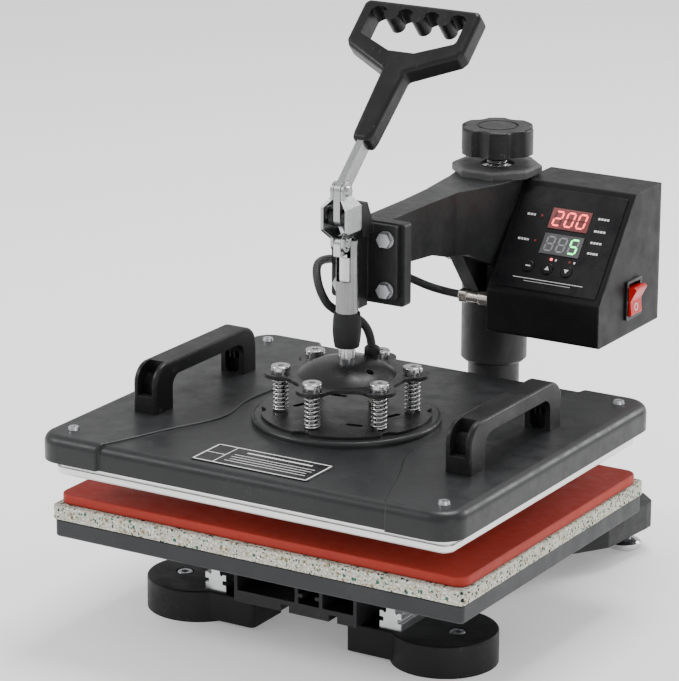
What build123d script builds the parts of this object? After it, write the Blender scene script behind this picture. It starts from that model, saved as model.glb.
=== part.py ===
from build123d import *
import os
from math import cos, pi, radians, sin

# Swing-away heat press, in millimetres. +X is to the operator's right, +Y is towards the back and +Z is up.
# The origin is on the floor, at the middle of the machine's outline seen from above.

# ---------------------------------------------------------------- driving dimensions

press_y = -58.75  # centre line of the lower platen
head_y = press_y - 8.0  # pressing axis of the toggle
cover_y = press_y - 3.0  # centre line of the upper cover
column_y = press_y + 242.0  # swing axis

# heights above the floor
deck_z = 27.0
platen_z = 78.0
foam_z = 93.0
silicone_z = 105.4
heater_z = 136.0
cover_z = 149.5
cover_top_z = 171.5
plate_top_z = 178.0
spider_z = 207.0
dome_top_z = 222.0
bush_z = 232.5
tube_z = 261.0
arm_top_z = 326.0
knob_z = 343.0

fit = 0.05  # radial running clearance of shafts, pins and the column
seat = 0.02  # radial gap where a part is pressed or screwed into another

# base
puck_x, puck_y, puck_r = 117.0, press_y - 49.0, 43.8
foot_x, foot_y = 122.0, press_y + 262.0
column_r, column_wall = 22.5, 5.0
rail_x, rail_front_y, rail_back_y = 83.0, press_y - 77.0, press_y + 150.0
deck_half, deck_front_y = 58.0, press_y - 88.0

# lower half
platen_w, platen_d = 380.0, 305.0
foam_w, foam_d = 383.0, 309.0
silicone_w, silicone_d, silicone_t = 378.0, 297.0, 8.4

# upper half
cover_w, cover_d = 386.0, 343.0
cover_step = 1.7  # height of the raised side strips
cover_wall = 1.8
heater_w, heater_d, heater_corner_r = 366.0, 318.0, 9.0
heater_top_z = 150.0
rim_r, plate_r = 77.5, 70.0
bolt_circle_r, bolt_count = 53.5, 6
cover_screw_x, cover_screw_y = 171.0, 146.5
handle_x, handle_w = 146.0, 23.0

# toggle: lever pivot F, yoke pivot on the lever H, yoke pivot on the plunger P
link_y = head_y - 10.0
pivot_f_z, pivot_h_z, pivot_p_z = 342.0, 364.5, 320.5
lever_lean = 48.0  # degrees behind the vertical
rod_r, rod_top_z, tube_r, tube_top_z = 7.0, 308.0, 9.1, 322.0
pin_r = 3.0
lever_half = 3.0  # half the thickness of the lever bar
cheek_near, cheek_far, cheek_t = 3.5, 10.0, 2.5

# arm
sleeve_r, boss_r, sleeve_z = 28.75, 29.2, 158.0
flange_y = head_y + 27.0
flange_w, flange_h, flange_t, flange_z = 60.0, 62.0, 6.0, 268.0
pad_half, pad_t, arm_pad_z, arm_pad_top_z = 34.5, 10.0, 262.0, 331.0
bracket_bolt_x, bracket_bolt_z = 20.5, (276.0, 318.5)

# control box
box_left, box_right = 29.5, 135.5
box_x = (box_left + box_right) / 2
box_front_y, box_top_y, box_back_y = press_y + 173.0, press_y + 238.0, press_y + 285.0
box_z, box_knee_z, box_top_z = 204.0, 241.0, 324.0
sheet = 1.4
panel_t = 0.8
display_w, display_h, display_x, display_v = 37.0, 19.0, 2.0, (72.8, 49.2)
button_r, button_v, button_u = 5.2, 26.5, (-22.0, -4.0, 14.0)
rocker_y, rocker_z, rocker_rest = press_y + 236.0, 234.0, 11.0
connector_y, connector_z = press_y + 184.0, 229.0

# heater cable
cable_r = 3.5
gland_x, gland_y = 6.0, head_y + 30.0
gland_top_z, gland_depth = 226.0, 8.0


def level(z, y=0.0, x=0.0):
    """Horizontal plane at height z."""
    return Plane(origin=(x, y, z))


def facing(y, x=0.0, z=0.0):
    """Upright plane that faces the operator: local x is +X, local y is +Z, normal is -Y."""
    return Plane(origin=(x, y, z), x_dir=(1, 0, 0), z_dir=(0, -1, 0))


def profile(x, y=0.0, z=0.0):
    """Upright plane across the machine: local x is +Y, local y is +Z, normal is +X."""
    return Plane(origin=(x, y, z), x_dir=(0, 1, 0), z_dir=(1, 0, 0))


def save(name, builder):
    builder.part.label = name
    export_step(builder.part, f"parts/{name}.step")


os.makedirs("parts", exist_ok=True)

# ---------------------------------------------------------------- base

casting_z, casting_h = 20.0, 23.0
ledge_z, ledge_h = 12.0, deck_z - 12.0
socket_top_z = 80.0
column_seat_z = 28.0

with BuildPart() as base_casting:
    with BuildSketch(level(casting_z, press_y)):
        with BuildLine():
            right = Polyline((0, 150), (98, 150), (119, 173), (137, 201), (143, 262), (143, 272), (128, 286),
                             (74, 286), (48, 292), (0, 292))
            mirror(right, about=Plane.YZ)
        make_face()
    extrude(amount=casting_h)
    fillet(base_casting.edges().filter_by(Axis.Z), 6)
    with BuildSketch(level(ledge_z, press_y + 150)):
        Rectangle(200, 90)
    extrude(amount=ledge_h)
    with BuildSketch(level(casting_z + casting_h, column_y)):
        Circle(39)
    extrude(amount=socket_top_z - casting_z - casting_h, taper=4)
    with BuildSketch(profile(0, column_y, casting_z + casting_h)):
        Polygon((-58, 0), (-30, 34), (-30, 0), align=None)
        Polygon((46, 0), (30, 34), (30, 0), align=None)
    extrude(amount=5, both=True)
    with BuildSketch(facing(column_y, 0, casting_z + casting_h)):
        for direction in (-1, 1):
            Polygon((92 * direction, 0), (30 * direction, 34), (30 * direction, 0), align=None)
    extrude(amount=5, both=True)
    with BuildSketch(level(casting_z + casting_h, press_y + 226)):
        with Locations((-90, 14), (90, 14)):
            SlotOverall(62, 34, rotation=90)
        with Locations((-66, -42), (66, -42)):
            SlotOverall(70, 30)
    extrude(amount=-14, mode=Mode.SUBTRACT)
    fillet(base_casting.faces().sort_by(Axis.Z)[-1].outer_wire().edges(), 2)
    with BuildSketch(level(column_seat_z, column_y)):
        Circle(column_r + seat)
    extrude(amount=100, mode=Mode.SUBTRACT)
    with BuildSketch(level(0, foot_y)):
        with Locations((-foot_x, 0), (foot_x, 0)):
            Circle(4.1)
    extrude(amount=100, mode=Mode.SUBTRACT)
save("base_casting", base_casting)

block_y, block_d, block_z, block_inner_x = press_y - 81.0, 46.0, 3.0, 44.0
foot_bolt_x, foot_bolt_y = puck_x + 13.0, puck_y - 2.5

with BuildPart() as front_feet:
    for direction in (-1, 1):
        with BuildSketch(level(0, puck_y)):
            with Locations((puck_x * direction, 0)):
                Circle(puck_r)
        extrude(amount=deck_z)
        block_mid = (block_inner_x + puck_x) / 2 * direction
        with BuildSketch(level(block_z, block_y + block_d / 2)):
            with Locations((block_mid, 0)):
                RectangleRounded(puck_x - block_inner_x, block_d, 4)
        extrude(amount=deck_z - block_z)
    fillet(front_feet.edges().group_by(Axis.Z)[-1], 1.6)
    with BuildSketch(level(deck_z - 8, foot_bolt_y)):
        with Locations((-foot_bolt_x, 0), (foot_bolt_x, 0)):
            Circle(7.5)
    extrude(amount=10, mode=Mode.SUBTRACT)
    with BuildSketch(level(block_z, foot_bolt_y)):
        with Locations((-foot_bolt_x, 0), (foot_bolt_x, 0)):
            Circle(4 + seat)
    extrude(amount=30, mode=Mode.SUBTRACT)
save("front_feet", front_feet)

with BuildPart() as front_foot_bolts:
    with BuildSketch(level(deck_z - 8, foot_bolt_y)):
        with Locations((-foot_bolt_x, 0), (foot_bolt_x, 0)):
            Circle(6.5)
    extrude(amount=8)
    chamfer(front_foot_bolts.faces().sort_by(Axis.Z)[-2:].edges(), 0.6)
    with BuildSketch(level(block_z, foot_bolt_y)):
        with Locations((-foot_bolt_x, 0), (foot_bolt_x, 0)):
            Circle(4)
    extrude(amount=deck_z - 8 - block_z)
    with BuildSketch(level(deck_z, foot_bolt_y)):
        with Locations((-foot_bolt_x, 0), (foot_bolt_x, 0)):
            RegularPolygon(3.5, 6)
    extrude(amount=-4.5, mode=Mode.SUBTRACT)
save("front_foot_bolts", front_foot_bolts)

deck_wall_x = (-deck_half + 1.5, 1.5, 24.5, deck_half - 1.5)
deck_floor_t, deck_wall_h = 10.0, 17.0

with BuildPart() as slide_deck:
    with BuildSketch(facing(rail_back_y, 0, deck_z)):
        with Locations((0, deck_floor_t / 2)):
            Rectangle(2 * deck_half, deck_floor_t)
        for wall_x in deck_wall_x:
            with Locations((wall_x, deck_floor_t + deck_wall_h / 2)):
                Rectangle(3, deck_wall_h)
            with Locations((wall_x, deck_floor_t + deck_wall_h)):
                Rectangle(8, 3)
        with Locations((21.5, deck_floor_t + 7)):
            Rectangle(5, 3)
        with Locations((4.5, deck_floor_t + 7)):
            Rectangle(5, 3)
        with Locations((-9.5, 3), (36, 3)):
            Rectangle(8, 6, mode=Mode.SUBTRACT)
    extrude(amount=rail_back_y - deck_front_y)
save("slide_deck", slide_deck)

rail_head_z, rail_head_h = deck_z + 21.0, 5.0

with BuildPart() as slide_rails:
    for direction in (-1, 1):
        with BuildSketch(facing(rail_back_y, rail_x * direction, deck_z)):
            with Locations((0, 7.5)):
                Rectangle(20, 15)
            with Locations((0, 18)):
                Rectangle(8, 6)
            with Locations((0, 21 + rail_head_h / 2)):
                Rectangle(16, rail_head_h)
            with Locations((-9, 8), (9, 8)):
                RectangleRounded(5, 3.6, 1, mode=Mode.SUBTRACT)
            with Locations((-5.5, 15), (5.5, 15)):
                Circle(1.2, mode=Mode.SUBTRACT)
        extrude(amount=rail_back_y - rail_front_y)
save("slide_rails", slide_rails)

column_top_z = 290.0

with BuildPart() as column:
    with BuildSketch(level(column_seat_z, column_y)):
        Circle(column_r)
        Circle(column_r - column_wall, mode=Mode.SUBTRACT)
    extrude(amount=column_top_z - column_seat_z)
save("column", column)

# ---------------------------------------------------------------- rear levelling feet

pad_profile = [(0, 0), (13.5, 0), (14.5, 1), (14.5, 5.5), (12.5, 7), (6.5, 9.5), (0, 9.5)]
stem_r, stem_z, stem_h = 4.0, 5.5, 44.0

for label, direction in (("left", -1), ("right", 1)):
    with BuildPart() as rear_stem:
        with BuildSketch(level(stem_z, foot_y, foot_x * direction)):
            Circle(stem_r)
        extrude(amount=stem_h)
        with BuildSketch(level(11.5, foot_y, foot_x * direction)):
            RegularPolygon(8, 6)
        extrude(amount=6)
    save(f"rear_stem_{label}", rear_stem)

    with BuildPart() as rear_pad:
        with BuildSketch(Plane.XZ.offset(-foot_y)):
            with BuildLine():
                Polyline(*[(foot_x * direction + r, z) for r, z in pad_profile], close=True)
            make_face()
        revolve(axis=Axis((foot_x * direction, foot_y, 0), (0, 0, 1)))
        with BuildSketch(level(stem_z, foot_y, foot_x * direction)):
            Circle(stem_r + 0.3)
        extrude(amount=10, mode=Mode.SUBTRACT)
    save(f"rear_pad_{label}", rear_pad)

# ---------------------------------------------------------------- lower half, on its slides

with BuildPart() as lower_platen:
    with BuildSketch(level(platen_z, press_y)):
        RectangleRounded(platen_w, platen_d, 4)
    extrude(amount=foam_z - platen_z)
    chamfer(lower_platen.faces().filter_by(Axis.Z).edges(), 1.2)
save("lower_platen", lower_platen)

with BuildPart() as foam_pad:
    with BuildSketch(level(foam_z, press_y)):
        RectangleRounded(foam_w, foam_d, 5)
    extrude(amount=silicone_z - foam_z)
save("foam_pad", foam_pad)

with BuildPart() as silicone_pad:
    with BuildSketch(level(silicone_z, press_y)):
        RectangleRounded(silicone_w, silicone_d, 11)
    extrude(amount=silicone_t)
save("silicone_pad", silicone_pad)

carriage_z, carriage_w, carriage_l = 44.5, 40.0, 28.0
carriage_mid_y = (press_y + 80.0, press_y + 130.0)

with BuildPart() as slide_carriages:
    for direction in (-1, 1):
        for mid_y in carriage_mid_y:
            with BuildSketch(facing(mid_y, rail_x * direction, carriage_z)):
                with Locations((0, (platen_z - carriage_z) / 2)):
                    Rectangle(carriage_w, platen_z - carriage_z)
                with Locations((0, 2)):
                    Rectangle(8.8, 4, mode=Mode.SUBTRACT)
                with Locations((0, rail_head_z - carriage_z + rail_head_h / 2)):
                    Rectangle(16.8, rail_head_h + 0.6, mode=Mode.SUBTRACT)
            extrude(amount=carriage_l / 2, both=True)
save("slide_carriages", slide_carriages)

# ---------------------------------------------------------------- pressure screw

thrust_z = column_top_z + 6.0
screw_r = 8.5

with BuildPart() as thrust_plug:
    with BuildSketch(level(column_top_z, column_y)):
        Circle(column_r - 0.3)
    extrude(amount=thrust_z - column_top_z)
    chamfer(thrust_plug.edges().group_by(Axis.Z)[-1], 1)
    with BuildSketch(level(column_top_z, column_y)):
        Circle(column_r - column_wall - fit)
    extrude(amount=-22)
save("thrust_plug", thrust_plug)

with BuildPart() as pressure_screw:
    with BuildSketch(level(thrust_z, column_y)):
        Circle(screw_r)
    extrude(amount=60)
    chamfer(pressure_screw.edges().group_by(Axis.Z)[0], 1)
save("pressure_screw", pressure_screw)

knob_top_z, lobe_count = 366.0, 6

with BuildPart() as pressure_knob:
    with BuildSketch(level(knob_z, column_y)):
        Circle(31.8)
        with PolarLocations(40.5, lobe_count, start_angle=30):
            Circle(12.5, mode=Mode.SUBTRACT)
    extrude(amount=knob_top_z - knob_z)
    fillet(pressure_knob.edges().filter_by(Axis.Z), 3)
    fillet(pressure_knob.edges().group_by(Axis.Z)[-1], 2.4)
    with BuildSketch(level(knob_top_z, column_y)):
        Circle(18)
        Circle(16, mode=Mode.SUBTRACT)
    extrude(amount=-1, mode=Mode.SUBTRACT)
    with BuildSketch(level(knob_z, column_y)):
        Circle(screw_r + seat)
    extrude(amount=thrust_z + 60 - knob_z, mode=Mode.SUBTRACT)
save("pressure_knob", pressure_knob)

# ---------------------------------------------------------------- arm

arm_front_y = flange_y + flange_t + pad_t
arm_tip = arm_front_y - column_y - 2
boss_z = 262.0
bolt_hole_r = 4.0 + seat

with BuildPart() as swing_arm:
    with BuildSketch(level(230, column_y)):
        with BuildLine():
            edge = Polyline((0, arm_tip), (-12, arm_tip), (-12, -140), (-14, -96), (-boss_r, -20),
                            (-boss_r, 6), (0, 6))
            mirror(edge, about=Plane.YZ)
        make_face()
    extrude(amount=110)
    bends = swing_arm.edges().filter_by(Axis.Z)
    fillet(bends.filter_by_position(Axis.Y, column_y - 160, column_y - 60), 30)
    with BuildSketch(profile(0, press_y)):
        with BuildLine():
            Polyline((arm_front_y - press_y - 3, 329), (150, 329), (205, arm_top_z), (260, arm_top_z), (260, 252),
                     (205, 252), (178, 264), (162, 272), (133, 276), (109, 283), (61, 287),
                     (arm_front_y - press_y - 3, 276), close=True)
        make_face()
    extrude(amount=60, both=True, mode=Mode.INTERSECT)
    with BuildSketch(facing(arm_front_y, 0, arm_pad_z)):
        with Locations((0, (arm_pad_top_z - arm_pad_z) / 2)):
            RectangleRounded(2 * pad_half, arm_pad_top_z - arm_pad_z, 3)
    extrude(amount=pad_t)
    with BuildSketch(level(sleeve_z, column_y)):
        Circle(sleeve_r)
    extrude(amount=arm_top_z - sleeve_z)
    with BuildSketch(level(boss_z, column_y)):
        Circle(boss_r)
    extrude(amount=arm_top_z - boss_z)
    with BuildSketch(profile(0, column_y)):
        Polygon((-75, 272), (-28, 212), (-20, 272), align=None)
    extrude(amount=7, both=True)
    chamfer(swing_arm.edges().group_by(Axis.Z)[0], 2.5)
    with BuildSketch(level(sleeve_z, column_y)):
        Circle(column_r + fit)
    extrude(amount=arm_top_z - sleeve_z, mode=Mode.SUBTRACT)
    with BuildSketch(facing(arm_front_y, 0, 0)):
        for bolt_z in bracket_bolt_z:
            with Locations((-bracket_bolt_x, bolt_z), (bracket_bolt_x, bolt_z)):
                Circle(bolt_hole_r)
    extrude(amount=pad_t, mode=Mode.SUBTRACT)
save("swing_arm", swing_arm)

cap_t, nut_r = 7.0, 15.0

with BuildPart() as arm_cap:
    with BuildSketch(level(arm_top_z, column_y)):
        RegularPolygon(39, 8, rotation=22.5)
        Circle(nut_r + seat, mode=Mode.SUBTRACT)
    extrude(amount=cap_t)
    chamfer(arm_cap.faces().sort_by(Axis.Z)[-1].outer_wire().edges(), 1.5)
save("arm_cap", arm_cap)

with BuildPart() as pressure_nut:
    with BuildSketch(level(arm_top_z - 14, column_y)):
        Circle(nut_r)
        Circle(screw_r + 0.1, mode=Mode.SUBTRACT)
    extrude(amount=19)
    chamfer(pressure_nut.edges().group_by(Axis.Z)[-1], 1)
save("pressure_nut", pressure_nut)

# ---------------------------------------------------------------- toggle bracket and its guide

ear_near, ear_far, ear_r = lever_half + 0.3, 8.0, 7.2
bridge_y = head_y + 12.0

with BuildPart() as toggle_bracket:
    with BuildSketch(facing(flange_y + flange_t, 0, flange_z)):
        with Locations((0, flange_h / 2)):
            Rectangle(flange_w, flange_h)
    extrude(amount=flange_t)
    fillet(toggle_bracket.edges().filter_by(Axis.Y), 2)
    with BuildSketch(profile(0, head_y)):
        Polygon((2, tube_z), (27, tube_z), (27, 331), (12, 345), (12, tube_top_z), (2, tube_top_z),
                align=None)
    extrude(amount=3, both=True)
    with BuildSketch(profile(0, bridge_y)):
        Polygon((0, 322), (15, 322), (15, 331), (6, 350), (0, 350), align=None)
    extrude(amount=ear_far, both=True)
    with BuildSketch(profile(-ear_far, link_y, pivot_f_z)):
        Circle(ear_r)
        Polygon((0, -ear_r), (22, -14), (22, ear_r), (0, ear_r), align=None)
        Circle(pin_r + seat, mode=Mode.SUBTRACT)
    extrude(amount=ear_far - ear_near)
    with BuildSketch(profile(ear_near, link_y, pivot_f_z)):
        Circle(ear_r)
        Polygon((0, -ear_r), (22, -14), (22, ear_r), (0, ear_r), align=None)
        Circle(pin_r + seat, mode=Mode.SUBTRACT)
    extrude(amount=ear_far - ear_near)
    with BuildSketch(level(tube_z, head_y)):
        Circle(tube_r + seat)
    extrude(amount=tube_top_z - tube_z, mode=Mode.SUBTRACT)
    with BuildSketch(facing(flange_y + flange_t, 0, 0)):
        for bolt_z in bracket_bolt_z:
            with Locations((-bracket_bolt_x, bolt_z), (bracket_bolt_x, bolt_z)):
                Circle(bolt_hole_r)
    extrude(amount=flange_t, mode=Mode.SUBTRACT)
save("toggle_bracket", toggle_bracket)

bolt_head_r = 6.6

with BuildPart() as bracket_bolts:
    for bolt_z in bracket_bolt_z:
        for bolt_x in (-bracket_bolt_x, bracket_bolt_x):
            with BuildSketch(facing(flange_y, bolt_x, bolt_z)):
                Circle(bolt_head_r + 0.6)
            extrude(amount=1.4)
            with BuildSketch(facing(flange_y - 1.4, bolt_x, bolt_z)):
                RegularPolygon(bolt_head_r, 6)
            extrude(amount=4.6)
            with BuildSketch(facing(arm_front_y + 8, bolt_x, bolt_z)):
                Circle(4)
            extrude(amount=arm_front_y + 8 - flange_y)
            with BuildSketch(facing(arm_front_y + 6.5, bolt_x, bolt_z)):
                RegularPolygon(bolt_head_r, 6)
            extrude(amount=6.5)
save("bracket_bolts", bracket_bolts)

slot_half, slot_z = 6.7, 288.0

with BuildPart() as guide_tube:
    with BuildSketch(level(tube_z, head_y)):
        Circle(tube_r)
        Circle(rod_r + fit, mode=Mode.SUBTRACT)
    extrude(amount=tube_top_z - tube_z)
    with BuildSketch(level(slot_z, head_y)):
        with Locations((0, -tube_r / 2 - 1)):
            Rectangle(2 * slot_half, tube_r + 2)
    extrude(amount=tube_top_z - slot_z, mode=Mode.SUBTRACT)
save("guide_tube", guide_tube)

with BuildPart() as guide_bush:
    with BuildSketch(Plane.XZ.offset(-head_y)):
        with BuildLine():
            Line((0, bush_z), (10, bush_z))
            ThreePointArc((10, bush_z), (11.7, 250), (10.6, tube_z))
            Line((10.6, tube_z), (0, tube_z))
            Line((0, tube_z), (0, bush_z))
        make_face()
    revolve(axis=Axis((0, head_y, 0), (0, 0, 1)))
    with BuildSketch(level(bush_z, head_y)):
        Circle(rod_r + 0.35)
    extrude(amount=tube_z - bush_z, mode=Mode.SUBTRACT)
save("guide_bush", guide_bush)

with BuildPart() as lever_pin:
    with BuildSketch(profile(-ear_far, link_y, pivot_f_z)):
        Circle(pin_r)
    extrude(amount=2 * ear_far)
    for head_x in (-ear_far - 1.4, ear_far):
        with BuildSketch(profile(head_x, link_y, pivot_f_z)):
            Circle(4.5)
        extrude(amount=1.4)
save("lever_pin", lever_pin)

# ---------------------------------------------------------------- lever

lean = radians(lever_lean)
lever_plane = Plane(origin=(0, link_y, pivot_h_z), x_dir=(1, 0, 0), z_dir=(0, -cos(lean), sin(lean)))
lever_normal = Axis(lever_plane.origin, lever_plane.z_dir)
bar_w, bar_end = 13.0, 84.0
pivot_gap = pivot_h_z - pivot_f_z
grip_t, grip_start, crotch, grip_top = 18.0, 45.0, 114.0, 182.0
opening_z, finger_z, finger_pitch = 133.0, 168.0, 24.5

with BuildPart() as lever_bar:
    with BuildSketch(profile(-lever_half, link_y, pivot_f_z)):
        with Locations((0, pivot_gap / 2)):
            SlotCenterToCenter(pivot_gap, 14, rotation=90)
        with Locations((sin(lean) * bar_end / 2, pivot_gap + cos(lean) * bar_end / 2)):
            Rectangle(bar_w, bar_end, rotation=-lever_lean)
        with Locations((0, 0), (0, pivot_gap)):
            Circle(pin_r + fit, mode=Mode.SUBTRACT)
    extrude(amount=2 * lever_half)
save("lever_bar", lever_bar)

with BuildPart() as lever_grip:
    with BuildSketch(lever_plane):
        with BuildLine():
            half = Polyline((0, grip_start), (7.6, grip_start), (9, grip_start + 8), (10.6, crotch),
                            (51, crotch + 20.5), (54.5, crotch + 26), (54.5, grip_top - 4), (51, grip_top),
                            (0, grip_top))
            mirror(half, about=Plane.YZ)
        make_face()
    extrude(amount=grip_t / 2, both=True)
    fillet(lever_grip.edges().filter_by(lever_normal), 4)
    fillet(lever_grip.faces().filter_by(lever_plane).edges(), 4)
    with BuildSketch(lever_plane) as opening:
        with BuildLine():
            inner = Polyline((0, opening_z), (12, opening_z), (43, opening_z + 13.5), (44.5, opening_z + 16),
                             (44.5, finger_z), (0, finger_z))
            mirror(inner, about=Plane.YZ)
        make_face()
        for place in range(4):
            with Locations(((place - 1.5) * finger_pitch, finger_z - 1)):
                Circle(8.6)
        for place in range(3):
            with Locations(((place - 1) * finger_pitch, finger_z + 1)):
                Circle(6.2, mode=Mode.SUBTRACT)
        with Locations((54.5, finger_z), (-54.5, finger_z)):
            Rectangle(20, 40, mode=Mode.SUBTRACT)
        fillet(opening.vertices(), 1.4)
    extrude(amount=grip_t, both=True, mode=Mode.SUBTRACT)
    with BuildSketch(lever_plane.offset(-bar_w / 2 - fit)):
        with Locations((0, bar_end / 2)):
            Rectangle(2 * lever_half + 2 * fit, bar_end + 2 * fit)
    extrude(amount=bar_w + 2 * fit, mode=Mode.SUBTRACT)
save("lever_grip", lever_grip)

# ---------------------------------------------------------------- yoke between lever and plunger

with BuildPart() as link_yoke:
    with BuildSketch(facing(link_y, 0, 0)):
        for direction in (-1, 1):
            near, far = cheek_near * direction, cheek_far * direction
            step = cheek_t * direction
            Polygon((near, 313), (near, 326), (far, 333), (far, 351), (near, 358), (near, 373),
                    (near + step, 373), (near + step, 359.5), (far + step, 352.5), (far + step, 331.5),
                    (near + step, 324.5), (near + step, 313), align=None)
    extrude(amount=20, both=True)
    with BuildSketch(profile(0, link_y, 0)):
        with Locations((0, pivot_p_z)):
            Circle(6.4)
        with Locations((0, pivot_h_z)):
            Circle(7)
        Polygon((-6.4, pivot_p_z), (-6.4, 326), (-11, 333), (-11, 351), (-7, 358), (-7, pivot_h_z),
                (7, pivot_h_z), (7, 358), (11, 351), (11, 333), (6.4, 326), (6.4, pivot_p_z), align=None)
    extrude(amount=30, both=True, mode=Mode.INTERSECT)
    for pivot_z, head_r, head_t in ((pivot_h_z, 4.6, 2.4), (pivot_p_z, 3.6, 1.4)):
        with BuildSketch(profile(cheek_near + cheek_t, link_y, pivot_z)):
            Circle(head_r)
        extrude(amount=head_t, taper=20)
        with BuildSketch(profile(-cheek_near - cheek_t, link_y, pivot_z)):
            Circle(head_r)
        extrude(amount=-head_t, taper=20)
    with BuildSketch(profile(-cheek_near - 1, link_y, pivot_h_z)):
        Circle(pin_r)
    extrude(amount=2 * cheek_near + 2)
save("link_yoke", link_yoke)

# ---------------------------------------------------------------- plunger and spider

rod_low_z, rod_nut_r, rod_nut_top = 196.0, 12.0, spider_z + 5.0

with BuildPart() as plunger_rod:
    with BuildSketch(level(rod_low_z, head_y)):
        Circle(rod_r)
    extrude(amount=rod_top_z - rod_low_z)
    with BuildSketch(level(rod_low_z, head_y)):
        RegularPolygon(rod_nut_r, 6)
    extrude(amount=rod_nut_top - rod_low_z)
    with BuildSketch(profile(-3.2, link_y, pivot_p_z)):
        Circle(6.4)
        Polygon((-6.4, 0), (-6.4, -9.5), (4, -9.5), (4, rod_top_z - pivot_p_z - 2),
                (14, rod_top_z - pivot_p_z - 2), (14, 6.4), (0, 6.4), align=None)
        Circle(pin_r + fit, mode=Mode.SUBTRACT)
    extrude(amount=6.4)
save("plunger_rod", plunger_rod)

spider_t, hub_r, dome_r, dome_t, lobe_r = 3.0, 49.0, 40.5, 2.5, 13.4
dome_rise = dome_top_z - spider_z - spider_t

with BuildPart() as spider_plate:
    with BuildSketch(level(spider_z, head_y)):
        Circle(hub_r)
        with PolarLocations(bolt_circle_r, bolt_count, start_angle=30):
            Circle(lobe_r)
        with PolarLocations(bolt_circle_r - 10, bolt_count, start_angle=30):
            Rectangle(20, 2 * lobe_r)
    extrude(amount=spider_t)
    fillet(spider_plate.edges().filter_by(Axis.Z).filter_by(
        lambda corner: (corner.center() - Vector(0, head_y, corner.center().Z)).length < hub_r + 1), 12)
    with BuildSketch(Plane.XZ.offset(-head_y)):
        with BuildLine():
            Line((0, spider_z + spider_t), (dome_r, spider_z + spider_t))
            ThreePointArc((dome_r, spider_z + spider_t), (26, spider_z + spider_t + 0.72 * dome_rise),
                          (rod_r, dome_top_z))
            Line((rod_r, dome_top_z), (0, dome_top_z))
            Line((0, dome_top_z), (0, spider_z + spider_t))
        make_face()
    revolve(axis=Axis((0, head_y, 0), (0, 0, 1)))
    with BuildSketch(Plane.XZ.offset(-head_y)):
        with BuildLine():
            Line((0, spider_z), (dome_r - 6, spider_z))
            ThreePointArc((dome_r - 6, spider_z), (23, spider_z + spider_t + 0.72 * dome_rise - dome_t - 1),
                          (14, dome_top_z - dome_t - 1.5))
            Line((14, dome_top_z - dome_t - 1.5), (0, dome_top_z - dome_t - 1.5))
            Line((0, dome_top_z - dome_t - 1.5), (0, spider_z))
        make_face()
    revolve(axis=Axis((0, head_y, 0), (0, 0, 1)), mode=Mode.SUBTRACT)
    with BuildSketch(level(spider_z, head_y)):
        Circle(rod_r + seat)
        with PolarLocations(bolt_circle_r, bolt_count, start_angle=30):
            Circle(4.1)
        with Locations((27, -9)):
            Circle(3.2)
    extrude(amount=30, mode=Mode.SUBTRACT)
    with BuildSketch(level(spider_z, gland_y, gland_x)):
        Circle(6.2 + seat)
    extrude(amount=30, mode=Mode.SUBTRACT)
save("spider_plate", spider_plate)

with BuildPart() as cable_gland:
    with BuildSketch(level(spider_z - 3, gland_y, gland_x)):
        Circle(6.2)
    extrude(amount=gland_top_z - spider_z + 3)
    with BuildSketch(level(gland_top_z - 6, gland_y, gland_x)):
        RegularPolygon(7.4, 6)
    extrude(amount=3.5)
    chamfer(cable_gland.edges().group_by(Axis.Z)[-1], 1.2)
    with BuildSketch(level(gland_top_z, gland_y, gland_x)):
        Circle(cable_r + seat)
    extrude(amount=-gland_depth, mode=Mode.SUBTRACT)
    with BuildSketch(level(spider_z - 3, gland_y, gland_x)):
        Circle(3)
    extrude(amount=17, mode=Mode.SUBTRACT)
save("cable_gland", cable_gland)

# ---------------------------------------------------------------- upper half: heater

boss_places = [(-40, -34), (40, -34), (-40, 34), (40, 34)]
screw_places = [(x, y) for x in (-cover_screw_x, cover_screw_x) for y in (-cover_screw_y, cover_screw_y)]
cover_under_z = cover_top_z - cover_step - cover_wall
boss_height = cover_under_z - heater_top_z
board_z = heater_top_z + 8.4

with BuildPart() as heating_plate:
    with BuildSketch(level(heater_z, cover_y)):
        RectangleRounded(heater_w, heater_d, heater_corner_r)
    extrude(amount=6)
    chamfer(heating_plate.edges().group_by(Axis.Z)[0], 1.5)
    with BuildSketch(level(heater_z + 6, cover_y)):
        RectangleRounded(heater_w - 3, heater_d - 3, heater_corner_r - 1)
    extrude(amount=heater_top_z - heater_z - 6)
    with BuildSketch(level(heater_top_z, cover_y)):
        with Locations(*boss_places, *screw_places):
            Circle(8)
    extrude(amount=boss_height)
    with BuildSketch(level(heater_top_z + boss_height, cover_y)):
        with Locations(*screw_places):
            Circle(2.5 + seat)
    extrude(amount=-14, mode=Mode.SUBTRACT)
save("heating_plate", heating_plate)

element_r = 4.0
element_path = [(-150, 120), (-150, -120), (-105, -120), (-105, 110), (-66, 110), (-66, -120), (66, -120),
                (66, 110), (105, 110), (105, -120), (150, -120), (150, 120)]

with BuildPart() as heating_element:
    with BuildLine(level(heater_top_z + element_r + 0.1, cover_y)) as element_line:
        FilletPolyline(*element_path, radius=16)
    with BuildSketch(Plane(origin=element_line.line @ 0, z_dir=element_line.line % 0)):
        Circle(element_r)
    sweep(path=element_line.line)
save("heating_element", heating_element)

lead_hole = (gland_x, gland_y - cover_y)

with BuildPart() as insulation_board:
    with BuildSketch(level(board_z, cover_y)):
        RectangleRounded(356, 308, 12)
        with Locations(*boss_places, *screw_places):
            Circle(8.6, mode=Mode.SUBTRACT)
        with Locations(lead_hole):
            Circle(3.2, mode=Mode.SUBTRACT)
    extrude(amount=cover_under_z - board_z)
save("insulation_board", insulation_board)

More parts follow.
